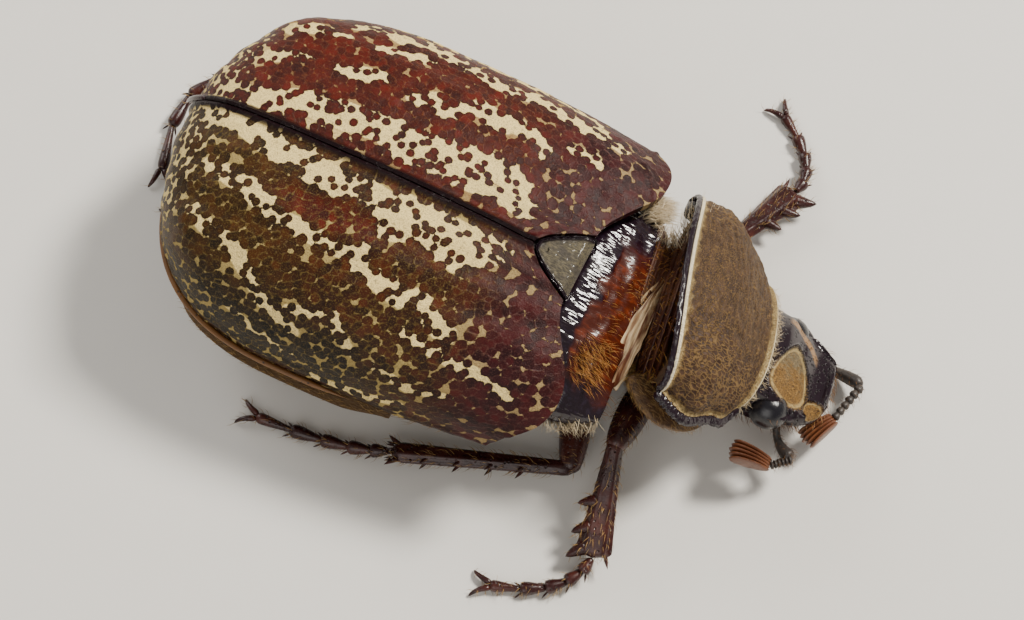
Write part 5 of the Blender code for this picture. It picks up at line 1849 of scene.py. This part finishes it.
# The coats: name, seed, finish and slot, then for each sowing its piece, the number of hairs, the weight
# of each place, the way the hairs lie, their length, their radius and how steeply they stand
COATS = (
    ("hair_flank", 11, "golden", "belly", (
        ("skin_prosternum", 9000, prothorax_flank, (-0.7, -0.1, -0.6), 0.5, 0.016, 0.28),
        ("prothorax_fold", 520, facing_up(-0.4, 0.2), (0.8, -0.5, -0.2), 0.26, 0.009, 0.2),
    )),
    ("hair_breast", 12, "golden", "belly", (
        ("skin_metathorax", 6000, facing_down(0.05, 0.4), (-1, 0, -0.3), 0.55, 0.016, 0.4),
        (
            "skin_abdomen", 4000,
            lambda p, up: fade(np.abs(p[:, 1]), 2.0, 8.0) * fade(5.0 - p[:, 2], 0.4, 1.0),
            (-1, 0, -0.2), 0.26, 0.012, 0.25,
        ),
    )),
    ("hair_membrane", 13, "orange", "membrane", (
        (
            "skin_mesothorax", 330,
            lambda p, up: within(p[:, 0], 4.3, 5.6) * within(p[:, 1], -4.0, -2.4, 0.5)
            * fade(p[:, 2], 3.5, 5.0),
            (0.9, -0.6, 0.1), 0.65, 0.012, 0.6,
        ),
        (
            "skin_mesothorax", 90,
            lambda p, up: within(p[:, 0], 4.6, 5.8) * within(p[:, 1], -2.6, 2.5)
            * fade(p[:, 2], 5.5, 6.2),
            (0.9, 0.1, 0.1), 0.4, 0.01, 0.5,
        ),
        ("skin_neck", 700, facing_up(-0.3, 0.6), (1.0, -0.6, 0.0), 0.5, 0.014, 0.4),
    )),
    ("hair_fringe", 14, "pale", "membrane", (
        (
            "skin_mesothorax", 650,
            lambda p, up: within(p[:, 1], 4.6, 6.0, 0.4) * within(p[:, 0], 4.2, 5.6)
            * fade(p[:, 2], 4.2, 5.0),
            (0.9, 0.4, 0.5), 1.0, 0.018, 0.6,
        ),
        (
            "skin_mesothorax", 240,
            lambda p, up: within(p[:, 1], -6.2, -4.4, 0.4) * fade(p[:, 0], 3.0, 3.4)
            * within(p[:, 2], 3.4, 5.2),
            (0.6, -1, 0.1), 0.7, 0.013, 0.55,
        ),
        (
            "skin_neck", 180,
            lambda p, up: fade(p[:, 1], 3.8, 4.2) * fade(p[:, 2], 4.5, 5.5)
            * (1 - fade(p[:, 0], 6.5, 6.9)),
            (-0.3, 0.8, 0.6), 0.95, 0.018, 0.55,
        ),
    )),
    ("hair_lashes", 15, "pale", "pronotum", (
        ("skin_pronotum", 1000, front_margin, (0.9, 0.0, -0.6), 0.42, 0.013, 0.25),
    )),
    ("hair_mouth", 16, "brown", "feeler", (
        ("skin_mouthparts", 1000, everywhere, (0.6, -0.8, -0.1), 0.55, 0.016, 0.6),
        ("skin_head", 900, facing_down(-0.1, 0.5), (0.5, -0.8, -0.2), 0.5, 0.016, 0.5),
        ("skin_antenna_left_stem", 140, everywhere, (0.7, -0.5, 0), 0.24, 0.01, 0.4),
        ("skin_antenna_right_stem", 140, everywhere, (0.7, -0.5, 0), 0.24, 0.01, 0.4),
    )),
    ("hair_brow", 18, "golden", "cuticle", (
        ("skin_head", 500, brow_patches, (0.6, -0.6, -0.2), 0.16, 0.008, 0.3),
    )),
    ("hair_legs", 17, "golden", "cuticle", tuple(
        (f"skin_leg_{name}", 520, everywhere, leg_way(name), 0.38, 0.014, 0.4) for name in LEGS
    )),
)


# Operators


class CHAFER_OT_elytra(bpy.types.Operator):
    """Make both elytra with their marbled finish, beads and hook, and the scutellum between them"""

    bl_idname = "chafer.elytra"
    bl_label = "Elytra"

    def execute(self, context):
        scene = context.scene
        material = elytra_finish(scene.chafer_colours)
        for side_name in SIDES:
            make_elytron(side_name, material, scene.chafer_colours, scene.chafer_details.dot_spacing / MM)
        amber = cuticle_finish("edge bead", (0.17, 0.072, 0.017), (0.1, 0.042, 0.012), 0.4, 3.0, 0.01)
        for side_name in SIDES:
            make_edge_bead(side_name, amber)
        make_suture_hook(cuticle_finish("sutural hook", (0.02, 0.004, 0.006), (0.04, 0.008, 0.01)))
        make_scutellum(scutellum_finish(scene.chafer_colours))
        return {"FINISHED"}


class CHAFER_OT_trunk(bpy.types.Operator):
    """Make the hind body, the breast, the middle body, the neck and its collar"""

    bl_idname = "chafer.trunk"
    bl_label = "Trunk"

    def execute(self, context):
        colours = context.scene.chafer_colours
        # Both colours of the belly plates are darkened by a quarter, as painted shade.
        make_abdomen(plate_finish("belly plates", colours.belly, (0.13, 0.075, 0.026)))
        make_metathorax(cuticle_finish("breast", colours.cuticle, (0.05, 0.015, 0.02)))
        make_mesothorax(mesothorax_finish(colours))
        make_neck(plate_finish("neck skin", colours.rust, (0.14, 0.05, 0.018), 0.4))
        make_collar(collar_finish())
        return {"FINISHED"}


class CHAFER_OT_prothorax(bpy.types.Operator):
    """Make the pronotum with its rim, the flanks under it and their fold"""

    bl_idname = "chafer.prothorax"
    bl_label = "Prothorax"

    def execute(self, context):
        scene = context.scene
        colours = scene.chafer_colours
        make_pronotum(pronotum_finish(colours), scene.chafer_details.wrinkle_depth / MM)
        make_pronotum_rim(cuticle_finish("pronotum rim", colours.cuticle, (0.014, 0.005, 0.013), 0.2, 6.0))
        # The lighter colour of the flanks is the belly colour, with its painted shade.
        make_prosternum(plate_finish("prothorax flanks", (0.1, 0.045, 0.016), colours.belly))
        make_prothorax_fold(plate_finish("flank fold", (0.08, 0.034, 0.011), (0.18, 0.1, 0.036), 0.45))
        return {"FINISHED"}


class CHAFER_OT_head(bpy.types.Operator):
    """Make the head, its eyes, mouthparts, palps and feelers"""

    bl_idname = "chafer.head"
    bl_label = "Head"

    def execute(self, context):
        colours = context.scene.chafer_colours
        make_head(head_finish(colours))
        eye = eye_finish()
        brown = cuticle_finish("feelers and mouth", (0.13, 0.045, 0.02), (0.22, 0.08, 0.03), 0.3, 7.0)
        stem = cuticle_finish("feeler stems", (0.03, 0.024, 0.022), (0.09, 0.07, 0.055), 0.4, 6.0)
        make_mouth(brown)
        for side_name in SIDES:
            make_eye(side_name, eye)
            make_palp(side_name, brown)
            make_feeler(side_name, stem, brown)
        return {"FINISHED"}


class CHAFER_OT_legs(bpy.types.Operator):
    """Make the six legs"""

    bl_idname = "chafer.legs"
    bl_label = "Legs"

    def execute(self, context):
        colour = context.scene.chafer_colours.leg
        material = cuticle_finish("legs", colour, (0.11, 0.03, 0.02), 0.22, 3.6, 0.04)
        for name in LEGS:
            make_leg(name, material)
        return {"FINISHED"}


class CHAFER_OT_hairs(bpy.types.Operator):
    """Sow the hairs of the body, the fringes, the head and the legs"""

    bl_idname = "chafer.hairs"
    bl_label = "Hairs"

    def execute(self, context):
        colours = context.scene.chafer_colours
        share = context.scene.chafer_details.hair_share
        shaded = tuple(value * 0.5 for value in colours.hair)
        finishes = {
            "golden": hair_finish("golden hair", shaded, colours.hair),
            "pale": hair_finish("pale hair", (0.5, 0.38, 0.22), colours.pale_hair),
            "orange": hair_finish("orange hair", (0.3, 0.1, 0.02), (0.62, 0.33, 0.08)),
            "brown": hair_finish("brown hair", (0.08, 0.03, 0.01), (0.3, 0.14, 0.04)),
        }
        for name, seed, finish, slot, sowings in COATS:
            coat = Coat(seed)
            for piece, count, where, lie, length, radius, stand in sowings:
                coat.sow(bpy.data.objects[piece], int(count * share), where, lie, length, radius, stand)
            coat.grow(name, finishes[finish])
        return {"FINISHED"}


class CHAFER_OT_stage(bpy.types.Operator):
    """Set the camera at the photograph's angle, with soft light and a plain floor"""

    bl_idname = "chafer.stage"
    bl_label = "Stage"

    def execute(self, context):
        stage = context.scene.chafer_stage
        make_floor(stage.floor_colour)
        make_camera(stage)
        make_lights(stage.key_watts)
        return {"FINISHED"}


# Stage


def make_floor(colour):
    bm = bmesh.new()
    bmesh.ops.create_grid(bm, x_segments=8, y_segments=8, size=FLOOR_SIZE / 2)
    mesh = bpy.data.meshes.new("floor")
    bm.to_mesh(mesh)
    bm.free()
    mesh.transform(Matrix.Translation((0, 0, -FLOOR_DROP)))
    mesh.materials.append(floor_finish(colour))
    floor = bpy.data.objects.new("floor", mesh)
    bpy.context.scene.collection.objects.link(floor)


def make_camera(stage):
    """The camera looks past the aim, so that the aim falls where the photograph has it."""
    azimuth, elevation = stage.azimuth, stage.elevation
    right = Vector((cos(azimuth), sin(azimuth), 0))
    back = Vector((sin(azimuth) * cos(elevation), -cos(azimuth) * cos(elevation), sin(elevation)))
    up = back.cross(right)
    sight = (right * AIM_OFFSET[0] + up * AIM_OFFSET[1] - back * FOCAL_PIXELS).normalized()
    side = sight.cross(up).normalized()
    data = bpy.data.cameras.new("camera")
    data.sensor_width = SENSOR_WIDTH
    data.lens = FOCAL_PIXELS / IMAGE_WIDTH * SENSOR_WIDTH
    data.clip_start = 0.001
    camera = bpy.data.objects.new("camera", data)
    bpy.context.scene.collection.objects.link(camera)
    turn = Matrix((side, side.cross(sight), -sight)).transposed()
    camera.matrix_world = Matrix.Translation(AIM + back * stage.distance) @ turn.to_4x4()
    bpy.context.scene.camera = camera


def make_lights(key_watts):
    """A key from behind the head, a broad fill, and a pale sky."""
    for name, place, size, share, colour in LIGHTS:
        data = bpy.data.lights.new(name, "AREA")
        data.size = size
        data.energy = key_watts * share
        data.color = colour
        lamp = bpy.data.objects.new(name, data)
        lamp.location = place
        lamp.rotation_mode = "QUATERNION"
        lamp.rotation_quaternion = (Vector(place) - AIM).to_track_quat("Z", "Y")
        bpy.context.scene.collection.objects.link(lamp)
    world = bpy.data.worlds.new("sky")
    world.use_nodes = True
    sky = world.node_tree.nodes["Background"].inputs
    sky["Color"].default_value = SKY_COLOUR
    sky["Strength"].default_value = SKY_STRENGTH
    bpy.context.scene.world = world


# Panel and registration


class CHAFER_PT_panel(bpy.types.Panel):
    """Lists the operators and their settings"""

    bl_idname = "CHAFER_PT_panel"
    bl_label = "Marbled Chafer"
    bl_space_type = "VIEW_3D"
    bl_region_type = "UI"
    bl_category = "Chafer"

    def draw(self, context):
        for operator in OPERATORS:
            self.layout.operator(operator.bl_idname)
        for group in ("chafer_colours", "chafer_details", "chafer_stage"):
            box = self.layout.box()
            settings = getattr(context.scene, group)
            for name in settings.__annotations__:
                box.prop(settings, name)


OPERATORS = (
    CHAFER_OT_elytra, CHAFER_OT_trunk, CHAFER_OT_prothorax, CHAFER_OT_head, CHAFER_OT_legs,
    CHAFER_OT_hairs, CHAFER_OT_stage,
)
GROUPS = (ChaferColours, ChaferDetails, ChaferStage)


def register():
    for cls in (*GROUPS, *OPERATORS, CHAFER_PT_panel):
        bpy.utils.register_class(cls)
    bpy.types.Scene.chafer_colours = bpy.props.PointerProperty(type=ChaferColours)
    bpy.types.Scene.chafer_details = bpy.props.PointerProperty(type=ChaferDetails)
    bpy.types.Scene.chafer_stage = bpy.props.PointerProperty(type=ChaferStage)


def unregister():
    del bpy.types.Scene.chafer_stage
    del bpy.types.Scene.chafer_details
    del bpy.types.Scene.chafer_colours
    for cls in reversed((*GROUPS, *OPERATORS, CHAFER_PT_panel)):
        bpy.utils.unregister_class(cls)


def main():
    register()
    bpy.ops.chafer.elytra()
    bpy.ops.chafer.trunk()
    bpy.ops.chafer.prothorax()
    bpy.ops.chafer.head()
    bpy.ops.chafer.legs()
    bpy.ops.chafer.hairs()
    bpy.ops.chafer.stage()


if __name__ == "__main__":
    main()
